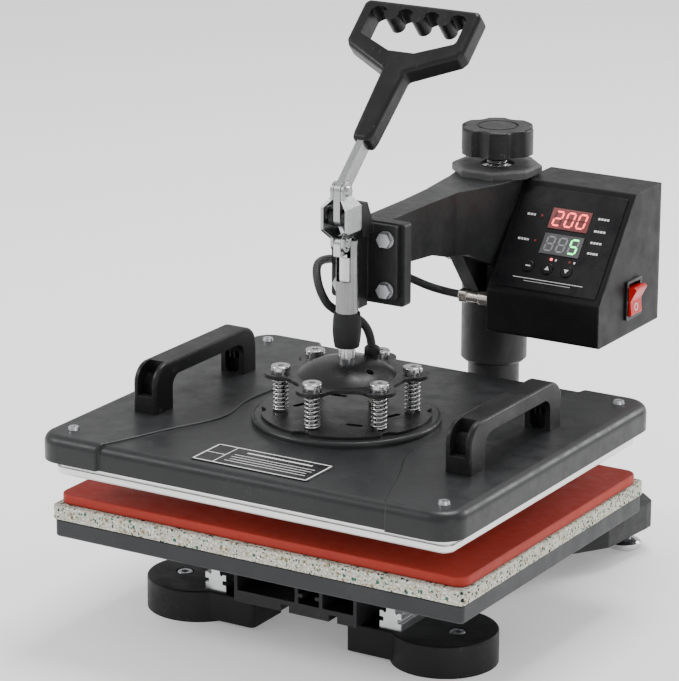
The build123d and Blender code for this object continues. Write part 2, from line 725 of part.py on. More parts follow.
with BuildPart() as heater_lead:
    with BuildSketch(level(heater_top_z + 0.1, gland_y, gland_x)):
        Circle(2.5)
    extrude(amount=spider_z + 5 - heater_top_z)
save("heater_lead", heater_lead)

# ---------------------------------------------------------------- upper half: cover and head plate

middle_z = cover_top_z - cover_step
half_d = cover_d / 2
edge_r = 8.0
strip_edge = [(138, -half_d - 9), (116, -130), (104, -98), (90, -66), (87, -45), (92, -20), (94, 5), (92, 30),
              (94, 60), (108, 105), (132, half_d + 9)]  # inner edge of the raised strip on the right

ring_top_z = 175.5

with BuildPart() as cover_shell:
    with BuildSketch(level(cover_z, cover_y)):
        RectangleRounded(cover_w - 6, cover_d - 6, 20)
    extrude(amount=middle_z - cover_z)
    fillet(cover_shell.edges().group_by(Axis.Z)[-1], edge_r)
    with BuildSketch(level(cover_z, cover_y)):
        RectangleRounded(cover_w, cover_d, 22)
        with BuildLine():
            right_edge = Spline(*strip_edge)
            Line((0, half_d + 9), right_edge @ 1)
            Line(right_edge @ 0, (0, -half_d - 9))
            mirror(about=Plane.YZ)
        make_face(mode=Mode.SUBTRACT)
    extrude(amount=cover_top_z - cover_z)
    rim = cover_shell.edges().group_by(Axis.Z)[-1]
    fillet(rim.filter_by(lambda piece: abs(piece.center().X) > 150
                         or abs(piece.center().Y - cover_y) > half_d - 2), edge_r)
    fillet(cover_shell.edges().group_by(Axis.Z)[-1].filter_by(
        lambda piece: abs(piece.center().X) < 150 and abs(piece.center().Y - cover_y) < 100), 1.5)
    with BuildSketch(level(middle_z, head_y)):
        Circle(rim_r)
    extrude(amount=ring_top_z - middle_z)
    fillet(cover_shell.faces().sort_by(Axis.Z)[-1].edges(), 3)
    with BuildSketch(level(cover_z, cover_y)):
        RectangleRounded(cover_w - 16, cover_d - 16, 15)
    extrude(amount=cover_under_z - cover_z, mode=Mode.SUBTRACT)
    with BuildSketch(level(cover_under_z, cover_y)):
        with Locations(*screw_places):
            Circle(2.9)
        with Locations(lead_hole):
            Circle(3.2)
    extrude(amount=10, mode=Mode.SUBTRACT)
save("cover_shell", cover_shell)

with BuildPart() as cover_screws:
    for screw_x, screw_dy in screw_places:
        with BuildSketch(level(cover_top_z, cover_y + screw_dy, screw_x)):
            Circle(5)
        extrude(amount=2.6, taper=18)
        with BuildSketch(level(cover_top_z, cover_y + screw_dy, screw_x)):
            Circle(2.5)
        extrude(amount=-12)
        with BuildSketch(level(cover_top_z + 2.6, cover_y + screw_dy, screw_x)):
            Rectangle(5, 1)
            Rectangle(1, 5)
        extrude(amount=-1.2, mode=Mode.SUBTRACT)
save("cover_screws", cover_screws)

with BuildPart() as label_plate:
    with BuildSketch(level(middle_z, press_y - 136.5)):
        RectangleRounded(108, 42, 3)
    extrude(amount=0.8)
save("label_plate", label_plate)

with BuildPart() as head_plate:
    with BuildSketch(level(ring_top_z, head_y)):
        Circle(plate_r)
        with PolarLocations(plate_r + 4.5, bolt_count, start_angle=30):
            Circle(9, mode=Mode.SUBTRACT)
        with PolarLocations(plate_r - 30, bolt_count, start_angle=10):
            SlotOverall(15, 5, rotation=60, mode=Mode.SUBTRACT)
        with PolarLocations(bolt_circle_r, bolt_count, start_angle=30):
            Circle(3.6 + seat, mode=Mode.SUBTRACT)
        with Locations((gland_x, gland_y - head_y)):
            Circle(3.2, mode=Mode.SUBTRACT)
    extrude(amount=plate_top_z - ring_top_z)
    fillet(head_plate.edges().filter_by(Axis.Z).filter_by(
        lambda corner: (corner.center() - Vector(0, head_y, corner.center().Z)).length > plate_r - 1), 3)
save("head_plate", head_plate)

spring_top_z = spider_z
washer_top_z = spider_z + spider_t + 2.0

with BuildPart() as spring_bolts:
    with BuildSketch(level(ring_top_z, head_y)):
        with PolarLocations(bolt_circle_r, bolt_count, start_angle=30):
            Circle(3.6)
    extrude(amount=washer_top_z - ring_top_z)
    with BuildSketch(level(spider_z + spider_t, head_y)):
        with PolarLocations(bolt_circle_r, bolt_count, start_angle=30):
            Circle(6.4)
    extrude(amount=washer_top_z - spider_z - spider_t)
    with BuildSketch(level(washer_top_z, head_y)):
        with PolarLocations(bolt_circle_r, bolt_count, start_angle=30):
            Circle(8)
    extrude(amount=4)
    fillet(spring_bolts.edges().group_by(Axis.Z)[-1], 1.2)
    with BuildSketch(level(washer_top_z + 4, head_y)):
        with PolarLocations(bolt_circle_r, bolt_count, start_angle=30):
            RegularPolygon(2.9, 6)
    extrude(amount=-2.2, mode=Mode.SUBTRACT)
save("spring_bolts", spring_bolts)

wire_r, coil_r, coil_turns = 0.95, 5.7, 6.5
coil_h = spring_top_z - plate_top_z - 2 * wire_r - 0.2

with BuildPart() as pressure_springs:
    for place in PolarLocations(bolt_circle_r, bolt_count, start_angle=30):
        at = place.position
        coil = Helix(coil_h / coil_turns, coil_h, coil_r,
                     center=(at.X, at.Y + head_y, plate_top_z + wire_r + 0.1), mode=Mode.PRIVATE)
        with BuildSketch(Plane(origin=coil @ 0, z_dir=coil % 0)):
            Circle(wire_r)
        sweep(path=coil, is_frenet=True)
save("pressure_springs", pressure_springs)

# ---------------------------------------------------------------- side handles

handle_mid_y, handle_h, handle_hole_h = press_y - 11.0, 40.0, 28.0
handle_front, handle_back = -73.5, 78.5
front_leg, back_leg, corner_r = 24.0, 20.0, 17.0
slot_w, slot_low, slot_deep = handle_w - 9.0, 14.0, 10.0
rib_t, rib_pitch = 1.4, 4.2

with BuildPart() as side_handles:
    for direction in (-1, 1):
        with BuildSketch(profile(handle_x * direction, handle_mid_y, cover_top_z)) as outline:
            Polygon((handle_front, 0), (handle_front, handle_h), (handle_back, handle_h), (handle_back, 0),
                    align=None)
            fillet(outline.vertices().group_by(Axis.Y)[-1], corner_r)
        extrude(amount=handle_w / 2, both=True)
    fillet(side_handles.faces().filter_by(Axis.X).edges().filter_by(
        lambda edge: edge.center().Z > cover_top_z + 1), 2.5)
    for direction in (-1, 1):
        with BuildSketch(profile(handle_x * direction, handle_mid_y, cover_top_z)) as hole:
            Polygon((handle_front + front_leg, 0), (handle_front + front_leg, handle_hole_h),
                    (handle_back - back_leg, handle_hole_h), (handle_back - back_leg, 0), align=None)
            fillet(hole.vertices().group_by(Axis.Y)[-1], 10)
        extrude(amount=handle_w, both=True, mode=Mode.SUBTRACT)
        with BuildSketch(profile(handle_x * direction, handle_mid_y, cover_top_z)):
            with BuildLine():
                Polyline((handle_front + slot_deep + 9, 30), (handle_front + slot_deep + 9, handle_h + 5),
                         (handle_front - 5, handle_h + 5), (handle_front - 5, slot_low),
                         (handle_front + slot_deep, slot_low), (handle_front + slot_deep, 22))
                ThreePointArc((handle_front + slot_deep, 22), (handle_front + slot_deep + 3, 27.5),
                              (handle_front + slot_deep + 9, 30))
            make_face()
        extrude(amount=slot_w / 2, both=True, mode=Mode.SUBTRACT)
        with BuildSketch(facing(handle_mid_y + handle_back - back_leg, handle_x * direction, cover_top_z)):
            with Locations((0, 11)):
                SlotOverall(24, slot_w, rotation=90)
            with Locations((-rib_pitch / 2, 18), (rib_pitch / 2, 18)):
                Rectangle(rib_t, 10, mode=Mode.SUBTRACT)
        extrude(amount=-8, mode=Mode.SUBTRACT)
save("side_handles", side_handles)

# ---------------------------------------------------------------- control box

slope = Vector(0, box_top_y - box_front_y, box_top_z - box_knee_z)
slope_l = slope.length
panel_plane = Plane(origin=(box_x, box_front_y, box_knee_z), x_dir=(1, 0, 0),
                    z_dir=Vector(0, -slope.Z, slope.Y).normalized())
box_w = box_right - box_left
window_gap = 0.3
panel_normal = Axis(panel_plane.origin, panel_plane.z_dir)

with BuildPart() as box_shell:
    with BuildSketch(profile(box_left)):
        with BuildLine():
            Polyline((box_back_y, box_z), (box_front_y, box_z), (box_front_y, box_knee_z),
                     (box_top_y, box_top_z), (box_back_y, box_top_z), close=True)
        make_face()
    extrude(amount=box_w)
    fillet(box_shell.edges().filter_by(Axis.X).sort_by(Axis.Y)[:3], 3)
    with BuildSketch(profile(box_left + sheet)):
        with BuildLine():
            Polyline((box_back_y, box_z + sheet), (box_front_y + sheet, box_z + sheet),
                     (box_front_y + sheet, box_knee_z - 0.6), (box_top_y + 0.8, box_top_z - sheet),
                     (box_back_y, box_top_z - sheet), close=True)
        make_face()
    extrude(amount=box_w - 2 * sheet, mode=Mode.SUBTRACT)
    with BuildSketch(panel_plane.offset(-4)):
        with Locations(*[(display_x, v) for v in display_v]):
            Rectangle(display_w + 2 * window_gap, display_h + 2 * window_gap)
        with Locations(*[(u, button_v) for u in button_u]):
            Circle(button_r + window_gap)
    extrude(amount=8, mode=Mode.SUBTRACT)
    with BuildSketch(profile(box_right - 4, rocker_y, rocker_z)):
        Rectangle(24.1, 30.1)
    extrude(amount=8, mode=Mode.SUBTRACT)
    with BuildSketch(profile(box_left - 4, connector_y, connector_z)):
        Circle(5 + seat)
    extrude(amount=8, mode=Mode.SUBTRACT)
save("box_shell", box_shell)

inlet_x, inlet_z = box_x - 20.0, box_z + 34.0

with BuildPart() as box_rear_cover:
    with BuildSketch(facing(box_back_y + sheet, box_x, (box_z + box_top_z) / 2)):
        Rectangle(box_w, box_top_z - box_z)
        with Locations((inlet_x - box_x, inlet_z - (box_z + box_top_z) / 2)):
            Rectangle(28.2, 20.2, mode=Mode.SUBTRACT)
        with Locations((26, 30)):
            with GridLocations(5, 1, 7, 1):
                SlotOverall(26, 2.4, rotation=90, mode=Mode.SUBTRACT)
    extrude(amount=sheet)
save("box_rear_cover", box_rear_cover)

with BuildPart() as power_inlet:
    with BuildSketch(facing(box_back_y + sheet + 3, inlet_x, inlet_z)):
        SlotOverall(50, 24)
    extrude(amount=3)
    with BuildSketch(facing(box_back_y + sheet + 3, inlet_x, inlet_z)):
        Rectangle(28, 20)
    extrude(amount=22)
    with BuildSketch(facing(box_back_y + sheet + 3, inlet_x, inlet_z)):
        Rectangle(24, 16)
    extrude(amount=17, mode=Mode.SUBTRACT)
    with BuildSketch(facing(box_back_y + sheet - 14, inlet_x, inlet_z)):
        with Locations((-8, -1), (0, 2.5), (8, -1)):
            Rectangle(1.6, 4)
    extrude(amount=-10)
save("power_inlet", power_inlet)

with BuildPart() as box_bracket:
    with BuildSketch(level(218, column_y)):
        with Locations((box_left - 6, 4)):
            Rectangle(12, 40)
        Circle(sleeve_r + seat, mode=Mode.SUBTRACT)
    extrude(amount=32)
save("box_bracket", box_bracket)

panel_w, panel_h = 96.0, 94.0

with BuildPart() as control_panel:
    with BuildSketch(panel_plane):
        with Locations((0, slope_l / 2)):
            RectangleRounded(panel_w, panel_h, 2)
        with Locations(*[(display_x, v) for v in display_v]):
            Rectangle(display_w + 2 * window_gap, display_h + 2 * window_gap, mode=Mode.SUBTRACT)
        with Locations(*[(u, button_v) for u in button_u]):
            Circle(button_r + window_gap, mode=Mode.SUBTRACT)
    extrude(amount=panel_t)
save("control_panel", control_panel)

for label, display_row in zip(("temperature_display", "timer_display"), display_v):
    with BuildPart() as display:
        with BuildSketch(panel_plane.offset(-8)):
            with Locations((display_x, display_row)):
                Rectangle(display_w, display_h)
        extrude(amount=8 + panel_t + 0.6)
    save(label, display)

lamp_places = [(-24.8, 73.5), (-23.6, 50.2), (-3, 35.3), (14.3, 35.3)]

with BuildPart() as indicator_lamps:
    with BuildSketch(panel_plane.offset(panel_t)):
        with Locations(*lamp_places):
            Circle(1.1)
    extrude(amount=0.5)
save("indicator_lamps", indicator_lamps)

button_out, button_in = 1.0, 3.5

for label, button_x in zip(("set_button", "up_button", "down_button"), button_u):
    with BuildPart() as button:
        with BuildSketch(panel_plane.offset(-button_in)):
            with Locations((button_x, button_v)):
                Circle(button_r)
        extrude(amount=button_in + panel_t + button_out)
        chamfer(button.edges().group_by(panel_normal)[-1], 0.4)
    save(label, button)

rocker_axis_x, rocker_pin_r, rocker_pin_half = box_right - 1.0, 1.6, 11.5

with BuildPart() as rocker_bezel:
    with BuildSketch(profile(box_right, rocker_y, rocker_z)):
        RectangleRounded(28, 34, 2)
    extrude(amount=2)
    with BuildSketch(profile(box_right, rocker_y, rocker_z)):
        Rectangle(24, 30)
    extrude(amount=-20)
    with BuildSketch(profile(box_right + 2, rocker_y, rocker_z)):
        Rectangle(20.6, 28.8)
    extrude(amount=-20, mode=Mode.SUBTRACT)
    with BuildSketch(facing(rocker_y, rocker_axis_x, rocker_z)):
        Circle(rocker_pin_r + fit)
    extrude(amount=rocker_pin_half + 0.3, both=True, mode=Mode.SUBTRACT)
save("rocker_bezel", rocker_bezel)

rocker_plane = Plane(origin=(rocker_axis_x, rocker_y, rocker_z), x_dir=(cos(radians(rocker_rest)), 0,
                     -sin(radians(rocker_rest))), z_dir=(0, -1, 0))
rocker_outward = Axis(rocker_plane.origin, rocker_plane.x_dir)

with BuildPart() as power_rocker:
    with BuildSketch(rocker_plane):
        with BuildLine():
            Polyline((-5, -9), (5, -13.2), (8, -11.8), (4.5, 0), (8, 11.8), (5, 13.2), (-5, 9), close=True)
        make_face()
    extrude(amount=10, both=True)
    fillet(power_rocker.edges().filter_by(Axis.Y).group_by(rocker_outward)[-1], 1)
    with BuildSketch(rocker_plane):
        Circle(rocker_pin_r)
    extrude(amount=rocker_pin_half, both=True)
save("power_rocker", power_rocker)

with BuildPart() as circuit_board:
    with BuildSketch(level(214, press_y + 227, box_x - 5)):
        Rectangle(80, 74)
    extrude(amount=1.6)
    with BuildSketch(level(215.6, press_y + 227, box_x - 5)):
        with Locations((-20, 10)):
            Rectangle(32, 28)
    extrude(amount=24)
    with BuildSketch(level(215.6, press_y + 227, box_x - 5)):
        with Locations((14, 14), (-22, -20)):
            Rectangle(16, 20)
    extrude(amount=16)
save("circuit_board", circuit_board)

# ---------------------------------------------------------------- cable connector

plug_end_x = -2.0

with BuildPart() as cable_socket:
    with BuildSketch(profile(box_left, connector_y, connector_z)):
        Circle(8.2)
    extrude(amount=-1.6)
    with BuildSketch(profile(box_left + 8, connector_y, connector_z)):
        Circle(5)
    extrude(amount=-16)
    with BuildSketch(profile(box_left - 8, connector_y, connector_z)):
        Circle(3.6)
    extrude(amount=7, mode=Mode.SUBTRACT)
save("cable_socket", cable_socket)

with BuildPart() as plug_ring:
    with BuildSketch(profile(box_left - 2, connector_y, connector_z)):
        Circle(6.2)
    extrude(amount=-10)
    chamfer(plug_ring.edges().group_by(Axis.X)[0], 0.6)
    with BuildSketch(profile(box_left - 2, connector_y, connector_z)):
        Circle(5 + fit)
    extrude(amount=-6.2, mode=Mode.SUBTRACT)
    with BuildSketch(profile(box_left - 2, connector_y, connector_z)):
        Circle(3.5 + fit)
    extrude(amount=-12, mode=Mode.SUBTRACT)
save("plug_ring", plug_ring)

with BuildPart() as heater_plug:
    with BuildSketch(profile(box_left - 3, connector_y, connector_z)):
        Circle(3.5)
    extrude(amount=-10)
    with BuildSketch(profile(box_left - 12.4, connector_y, connector_z)):
        Circle(5)
    extrude(amount=-12)
    with BuildSketch(profile(plug_end_x + 8, connector_y, connector_z)):
        RectangleRounded(11, 11, 3)
    extrude(amount=-7)
    with BuildSketch(profile(plug_end_x + 3, connector_y, connector_z)):
        Circle(4.6)
    extrude(amount=-3)
    with BuildSketch(profile(plug_end_x, connector_y, connector_z)):
        Circle(cable_r + seat)
    extrude(amount=6, mode=Mode.SUBTRACT)
save("heater_plug", heater_plug)

# The cable leaves the plug, runs forward beside the arm, loops out to the left of the toggle
# and comes down into the gland on the spider.
cable_route = [
    (plug_end_x + 6, connector_y, connector_z),
    (-24, connector_y, connector_z),
    (-46, head_y + 164, 248),
    (-50, head_y + 124, 263),
    (-49, head_y + 84, 276),
    (-47, head_y + 54, 287),
    (-44, head_y + 27, 291),
    (-35, head_y + 9, 286.5),
    (-26.5, head_y + 2, 273),
    (-19.5, head_y + 8, 257.5),
    (gland_x, gland_y, 246),
    (gland_x, gland_y, gland_top_z - gland_depth),
]


def cable_radii(route):
    """Bend radius at each inner point: as large as its two runs allow."""
    radii = []
    for before, point, after in zip(route, route[1:], route[2:]):
        run_in, run_out = Vector(point) - Vector(before), Vector(after) - Vector(point)
        turn = radians(run_in.get_angle(run_out))
        radii.append(0.45 * min(run_in.length, run_out.length) * cos(turn / 2) / sin(turn / 2))
    return radii


bends = cable_radii(cable_route)
with BuildPart() as heater_cable:
    with BuildLine():
        cable_line = FilletPolyline(*cable_route, radius=bends)
    with BuildSketch(Plane(origin=cable_line @ 0, z_dir=cable_line % 0)):
        Circle(cable_r)
    sweep(path=cable_line)
save("heater_cable", heater_cable)

cable_length = cable_line.length
cable_section = pi * cable_r**2
print("cable length", round(cable_length, 1), "bend radii", [round(r, 1) for r in bends])
print("cable volume", round(heater_cable.part.volume))
print("section times length", round(cable_section * cable_length))
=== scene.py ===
from math import cos, pi, radians, sin, tau
import bpy
import bmesh
from mathutils import Matrix, Vector, noise


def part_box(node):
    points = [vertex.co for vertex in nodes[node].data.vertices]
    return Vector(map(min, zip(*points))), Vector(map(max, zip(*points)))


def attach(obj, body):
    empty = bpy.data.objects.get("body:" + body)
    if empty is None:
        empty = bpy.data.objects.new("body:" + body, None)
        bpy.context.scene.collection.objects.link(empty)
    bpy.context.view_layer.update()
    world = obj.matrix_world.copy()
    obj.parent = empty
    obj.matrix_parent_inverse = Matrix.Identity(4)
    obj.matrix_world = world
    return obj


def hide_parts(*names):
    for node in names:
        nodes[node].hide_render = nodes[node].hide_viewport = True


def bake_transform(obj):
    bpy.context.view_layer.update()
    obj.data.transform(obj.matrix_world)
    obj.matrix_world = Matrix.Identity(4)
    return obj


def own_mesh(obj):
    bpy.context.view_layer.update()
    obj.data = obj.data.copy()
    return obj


# The looks of a swing-away heat press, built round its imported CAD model. Lengths are in metres.
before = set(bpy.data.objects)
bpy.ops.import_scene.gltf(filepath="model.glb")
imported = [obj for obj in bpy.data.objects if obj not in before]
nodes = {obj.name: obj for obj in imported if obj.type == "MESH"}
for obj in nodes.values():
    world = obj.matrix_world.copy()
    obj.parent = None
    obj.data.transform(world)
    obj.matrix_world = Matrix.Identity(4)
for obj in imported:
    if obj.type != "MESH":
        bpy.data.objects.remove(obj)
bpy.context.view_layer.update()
mm = 0.001  # one millimetre in metres


# ---------------------------------------------------------------- shader building

class Look:
    """A procedural material in object coordinates, which are metres in the row frame."""

    def __init__(self, name, colour, roughness, metallic=0.0, specular=0.5):
        self.material = bpy.data.materials.new(name)
        self.material.use_nodes = True
        self.tree = self.material.node_tree
        self.shader = self.tree.nodes["Principled BSDF"]
        self.plain = colour
        self.shader.inputs["Base Color"].default_value = (*colour, 1)
        self.shader.inputs["Roughness"].default_value = roughness
        self.shader.inputs["Metallic"].default_value = metallic
        self.shader.inputs["Specular IOR Level"].default_value = specular
        self.where = self.add("ShaderNodeTexCoord").outputs["Object"]
        self.tint = None
        self.normal = None

    def add(self, kind, **settings):
        node = self.tree.nodes.new(kind)
        for key, value in settings.items():
            setattr(node, key, value)
        return node

    def link(self, source, target):
        self.tree.links.new(source, target)

    def spot(self, stretch):
        """Object coordinates, scaled differently along each axis."""
        mapping = self.add("ShaderNodeMapping")
        mapping.inputs["Scale"].default_value = stretch
        self.link(self.where, mapping.inputs["Vector"])
        return mapping.outputs["Vector"]

    def grain(self, scale, detail=3.0, rough=0.5, stretch=None):
        """Cloudy noise from 0 to 1, mostly between 0.3 and 0.7."""
        node = self.add("ShaderNodeTexNoise")
        node.inputs["Scale"].default_value = scale
        node.inputs["Detail"].default_value = detail
        node.inputs["Roughness"].default_value = rough
        self.link(self.spot(stretch) if stretch else self.where, node.inputs["Vector"])
        return node.outputs["Fac"]

    def cells(self, scale, feature="F1"):
        """Irregular cells, each with its own random colour."""
        node = self.add("ShaderNodeTexVoronoi", feature=feature)
        node.inputs["Scale"].default_value = scale
        self.link(self.where, node.inputs["Vector"])
        return node

    def remap(self, value, low, high, to_low=0.0, to_high=1.0):
        """Stretches low to high over to_low to to_high, and clamps the rest."""
        node = self.add("ShaderNodeMapRange")
        node.inputs["From Min"].default_value = low
        node.inputs["From Max"].default_value = high
        node.inputs["To Min"].default_value = to_low
        node.inputs["To Max"].default_value = to_high
        self.link(value, node.inputs["Value"])
        return node.outputs["Result"]

    def times(self, first, second):
        node = self.add("ShaderNodeMath", operation="MULTIPLY")
        self.link(first, node.inputs[0])
        self.link(second, node.inputs[1])
        return node.outputs["Value"]

    def steps(self, value, *stops):
        """Bands of colour: each stop is (position, colour)."""
        node = self.add("ShaderNodeValToRGB")
        node.color_ramp.interpolation = "CONSTANT"
        ramp = node.color_ramp.elements
        while len(ramp) < len(stops):
            ramp.new(0.5)
        for element, (position, colour) in zip(ramp, stops):
            element.position = position
            element.color = (*colour, 1)
        self.link(value, node.inputs["Fac"])
        return node.outputs["Color"]

    def paint(self, mask, colour):
        """Lays a colour, or a colour output, over what is there, where the mask is 1."""
        mix = self.add("ShaderNodeMix", data_type="RGBA")
        first, second = mix.inputs[6], mix.inputs[7]  # a Mix node's colours, whose result is output 2
        if self.tint:
            self.link(self.tint, first)
        else:
            first.default_value = (*self.plain, 1)
        if isinstance(colour, tuple):
            second.default_value = (*colour, 1)
        else:
            self.link(colour, second)
        self.link(mask, mix.inputs[0])
        self.tint = mix.outputs[2]
        self.link(self.tint, self.shader.inputs["Base Color"])

    def rough(self, value, low, high):
        """Lets the roughness wander from low to high with a noise."""
        self.link(self.remap(value, 0.3, 0.7, low, high), self.shader.inputs["Roughness"])

    def edges(self, radius, strength):
        """A mask of the object's edges, from the difference that rounding makes to the normal; it carries
        edge wear and painted edge highlight.
        """
        bevel = self.add("ShaderNodeBevel", samples=4)
        bevel.inputs["Radius"].default_value = radius
        normal = self.add("ShaderNodeNewGeometry").outputs["Normal"]
        dot = self.add("ShaderNodeVectorMath", operation="DOT_PRODUCT")
        self.link(bevel.outputs["Normal"], dot.inputs[0])
        self.link(normal, dot.inputs[1])
        return self.remap(dot.outputs["Value"], 0.985, 0.86, 0.0, strength)

    def soften(self, radius):
        """Rounds the sharp edges of a machined or moulded piece by a small radius."""
        bevel = self.add("ShaderNodeBevel", samples=6)
        bevel.inputs["Radius"].default_value = radius
        self.normal = bevel.outputs["Normal"]
        self.link(self.normal, self.shader.inputs["Normal"])

    def bump(self, height, depth):
        """Adds relief of a depth in metres to the normal so far."""
        node = self.add("ShaderNodeBump")
        node.inputs["Strength"].default_value = 1.0
        node.inputs["Distance"].default_value = depth
        self.link(height, node.inputs["Height"])
        if self.normal:
            self.link(self.normal, node.inputs["Normal"])
        self.normal = node.outputs["Normal"]
        self.link(self.normal, self.shader.inputs["Normal"])


# ---------------------------------------------------------------- materials

def enamel(name, colour, shine, peel=0.00006, grain_size=900, wear_and_highlight=0.35, rounding=0.9 * mm,
           specular=0.32):
    """Powder-coated sheet: fine orange peel, slow changes of shine, edges painted lighter as wear and as a
    painted highlight.
    """
    look = Look(name, colour, shine, specular=specular)
    look.soften(rounding)
    cloud = look.grain(9, 4, 0.6)
    pale = tuple(min(1.0, 1.45 * c + 0.008) for c in colour)
    look.paint(look.remap(cloud, 0.42, 0.72, 0, 0.32), pale)
    # Edges painted lighter: partly edge wear, partly a painted highlight along the rounded edges (strongest
    # on the control box).
    edge_wear_and_highlight = look.times(look.edges(1.2 * mm, wear_and_highlight), look.remap(look.grain(160, 3), 0.42, 0.6))
    look.paint(edge_wear_and_highlight, tuple(min(1.0, 3 * c + 0.03) for c in colour))
    specks = look.remap(look.grain(420, 5, 0.7), 0.60, 0.74, 0, 0.30)
    dust = look.times(specks, look.remap(cloud, 0.4, 0.6))
    look.paint(dust, (0.20, 0.20, 0.195))
    look.rough(look.grain(60, 5, 0.65), shine - 0.07, shine + 0.12)
    look.bump(look.grain(grain_size, 2, 0.4), peel)
    return look.material


def casting(name, colour, shine, pit=0.00016, wear_and_highlight=0.5):
    """Painted sand casting: a lumpy skin with fine pits."""
    look = Look(name, colour, shine, specular=0.32)
    look.soften(1.4 * mm)
    cloud = look.remap(look.grain(14, 5, 0.6), 0.42, 0.7, 0, 0.6)
    look.paint(cloud, tuple(1.7 * c + 0.01 for c in colour))
    # Edges painted lighter: edge wear, and a painted highlight along the edges.
    edge_wear_and_highlight = look.times(look.edges(1.6 * mm, wear_and_highlight), look.remap(look.grain(130, 4), 0.42, 0.62))
    look.paint(edge_wear_and_highlight, tuple(min(1.0, 4 * c + 0.05) for c in colour))
    look.rough(look.grain(90, 5, 0.7), shine - 0.08, shine + 0.14)
    look.bump(look.grain(70, 4, 0.6), 3 * pit)
    look.bump(look.grain(650, 4, 0.65), pit)
    return look.material


def plastic(name, colour, shine, texture=0.00009, grain_size=1500):
    """Moulded plastic with a spark-eroded texture and dull scuffs."""
    look = Look(name, colour, shine, specular=0.26)
    look.soften(0.7 * mm)
    cloud = look.remap(look.grain(22, 4), 0.45, 0.75, 0, 0.4)
    look.paint(cloud, tuple(1.8 * c + 0.006 for c in colour))
    scuff = look.remap(look.grain(60, 3, 0.5, stretch=(14, 1.5, 3)), 0.64, 0.70, 0, 0.35)
    look.paint(look.times(scuff, look.remap(look.grain(12), 0.45, 0.6)), (0.10, 0.10, 0.10))
    look.rough(look.grain(45, 5, 0.7), shine - 0.08, shine + 0.14)
    look.bump(look.grain(grain_size, 2, 0.5), texture)
    return look.material


def metal(name, colour, shine, streak=(1, 1, 24), streak_size=260, depth=0.00002, radius=0.5 * mm,
          grime=0.5):
    """Plated or machined steel: streaks one way, faint stains, dirt in the tint."""
    look = Look(name, colour, shine, metallic=1.0)
    look.soften(radius)
    stain = look.remap(look.grain(35, 5, 0.65), 0.45, 0.75, 0, grime)
    look.paint(stain, tuple(0.62 * c for c in colour))
    lines = look.grain(streak_size, 4, 0.6, stretch=streak)
    look.rough(lines, shine - 0.07, shine + 0.12)
    look.bump(lines, depth)
    return look.material


def threaded(name, colour, pitch):
    """Rolled thread on an upright screw."""
    look = Look(name, colour, 0.25, metallic=1.0)
    band = tau / 20  # metres from one band of the wave texture to the next at scale 1
    wave = look.add("ShaderNodeTexWave", wave_type="BANDS", bands_direction="Z")
    look.link(look.where, wave.inputs["Vector"])
    wave.inputs["Scale"].default_value = band / pitch
    # The thread's grooves are painted darker: painted shade in the grooves.
    look.paint(look.remap(wave.outputs["Fac"], 0.35, 0.0, 0, 0.7), tuple(0.3 * c for c in colour))
    look.rough(look.grain(200, 4), 0.18, 0.36)
    look.bump(wave.outputs["Fac"], 0.3 * pitch)
    return look.material


def silicone():
    """Cast silicone sheet: flat red, dusty, with shallow cast ripples and a few marks."""
    look = Look("silicone_sheet", (0.36, 0.026, 0.012), 0.55, specular=0.35)
    look.soften(0.8 * mm)
    look.paint(look.remap(look.grain(7, 5, 0.6), 0.40, 0.72, 0, 0.75), (0.27, 0.018, 0.009))
    look.paint(look.remap(look.grain(130, 4, 0.7), 0.56, 0.72, 0, 0.35), (0.42, 0.045, 0.024))
    lint = look.times(look.remap(look.grain(900, 3, 0.6), 0.66, 0.72), look.remap(look.grain(30), 0.5, 0.6))
    look.paint(lint, (0.52, 0.16, 0.12))
    look.rough(look.grain(80, 5, 0.7), 0.48, 0.68)
    look.bump(look.grain(240, 4, 0.6), 0.00016)
    look.bump(look.grain(40, 3), 0.0004)
    return look.material


def rebonded_foam():
    """Crumbs of foam pressed together: pale ground with dark, green and tan crumbs and open pores."""
    look = Look("rebonded_foam", (0.62, 0.60, 0.50), 0.9, specular=0.2)
    look.paint(look.remap(look.grain(90, 4), 0.4, 0.7), (0.74, 0.73, 0.66))
    warp = look.add("ShaderNodeTexNoise")
    warp.inputs["Scale"].default_value = 420
    look.link(look.where, warp.inputs["Vector"])
    shift = look.add("ShaderNodeVectorMath", operation="MULTIPLY_ADD")
    look.link(warp.outputs["Color"], shift.inputs[0])
    shift.inputs[1].default_value = (0.0016, 0.0016, 0.0016)
    look.link(look.where, shift.inputs[2])
    plain_place = look.where
    look.where = shift.outputs["Vector"]
    dark, green = (0.012, 0.020, 0.018), (0.055, 0.17, 0.12)
    tan, sand, white = (0.36, 0.29, 0.15), (0.50, 0.47, 0.36), (0.85, 0.85, 0.80)
    for scale, chance, size, stops in (
        (230, 0.62, 0.40, ((0.0, tan), (0.24, green), (0.50, dark), (0.84, sand))),
        (430, 0.50, 0.44, ((0.0, dark), (0.40, green), (0.66, white), (0.86, tan))),
    ):
        crumbs = look.cells(scale)
        parts = look.add("ShaderNodeSeparateColor")
        look.link(crumbs.outputs["Color"], parts.inputs["Color"])
        near = look.remap(crumbs.outputs["Distance"], size, size - 0.05)
        pick = look.remap(parts.outputs["Red"], chance, chance + 0.01)
        look.paint(look.times(near, pick), look.steps(parts.outputs["Green"], *stops))
    seams = look.cells(300, "DISTANCE_TO_EDGE").outputs["Distance"]
    look.paint(look.remap(seams, 0.05, 0.0, 0, 0.4), (0.24, 0.23, 0.17))
    look.bump(look.remap(seams, 0.0, 0.16), 0.0007)
    look.where = plain_place
    look.bump(look.grain(1100, 3, 0.6), 0.0003)
    return look.material


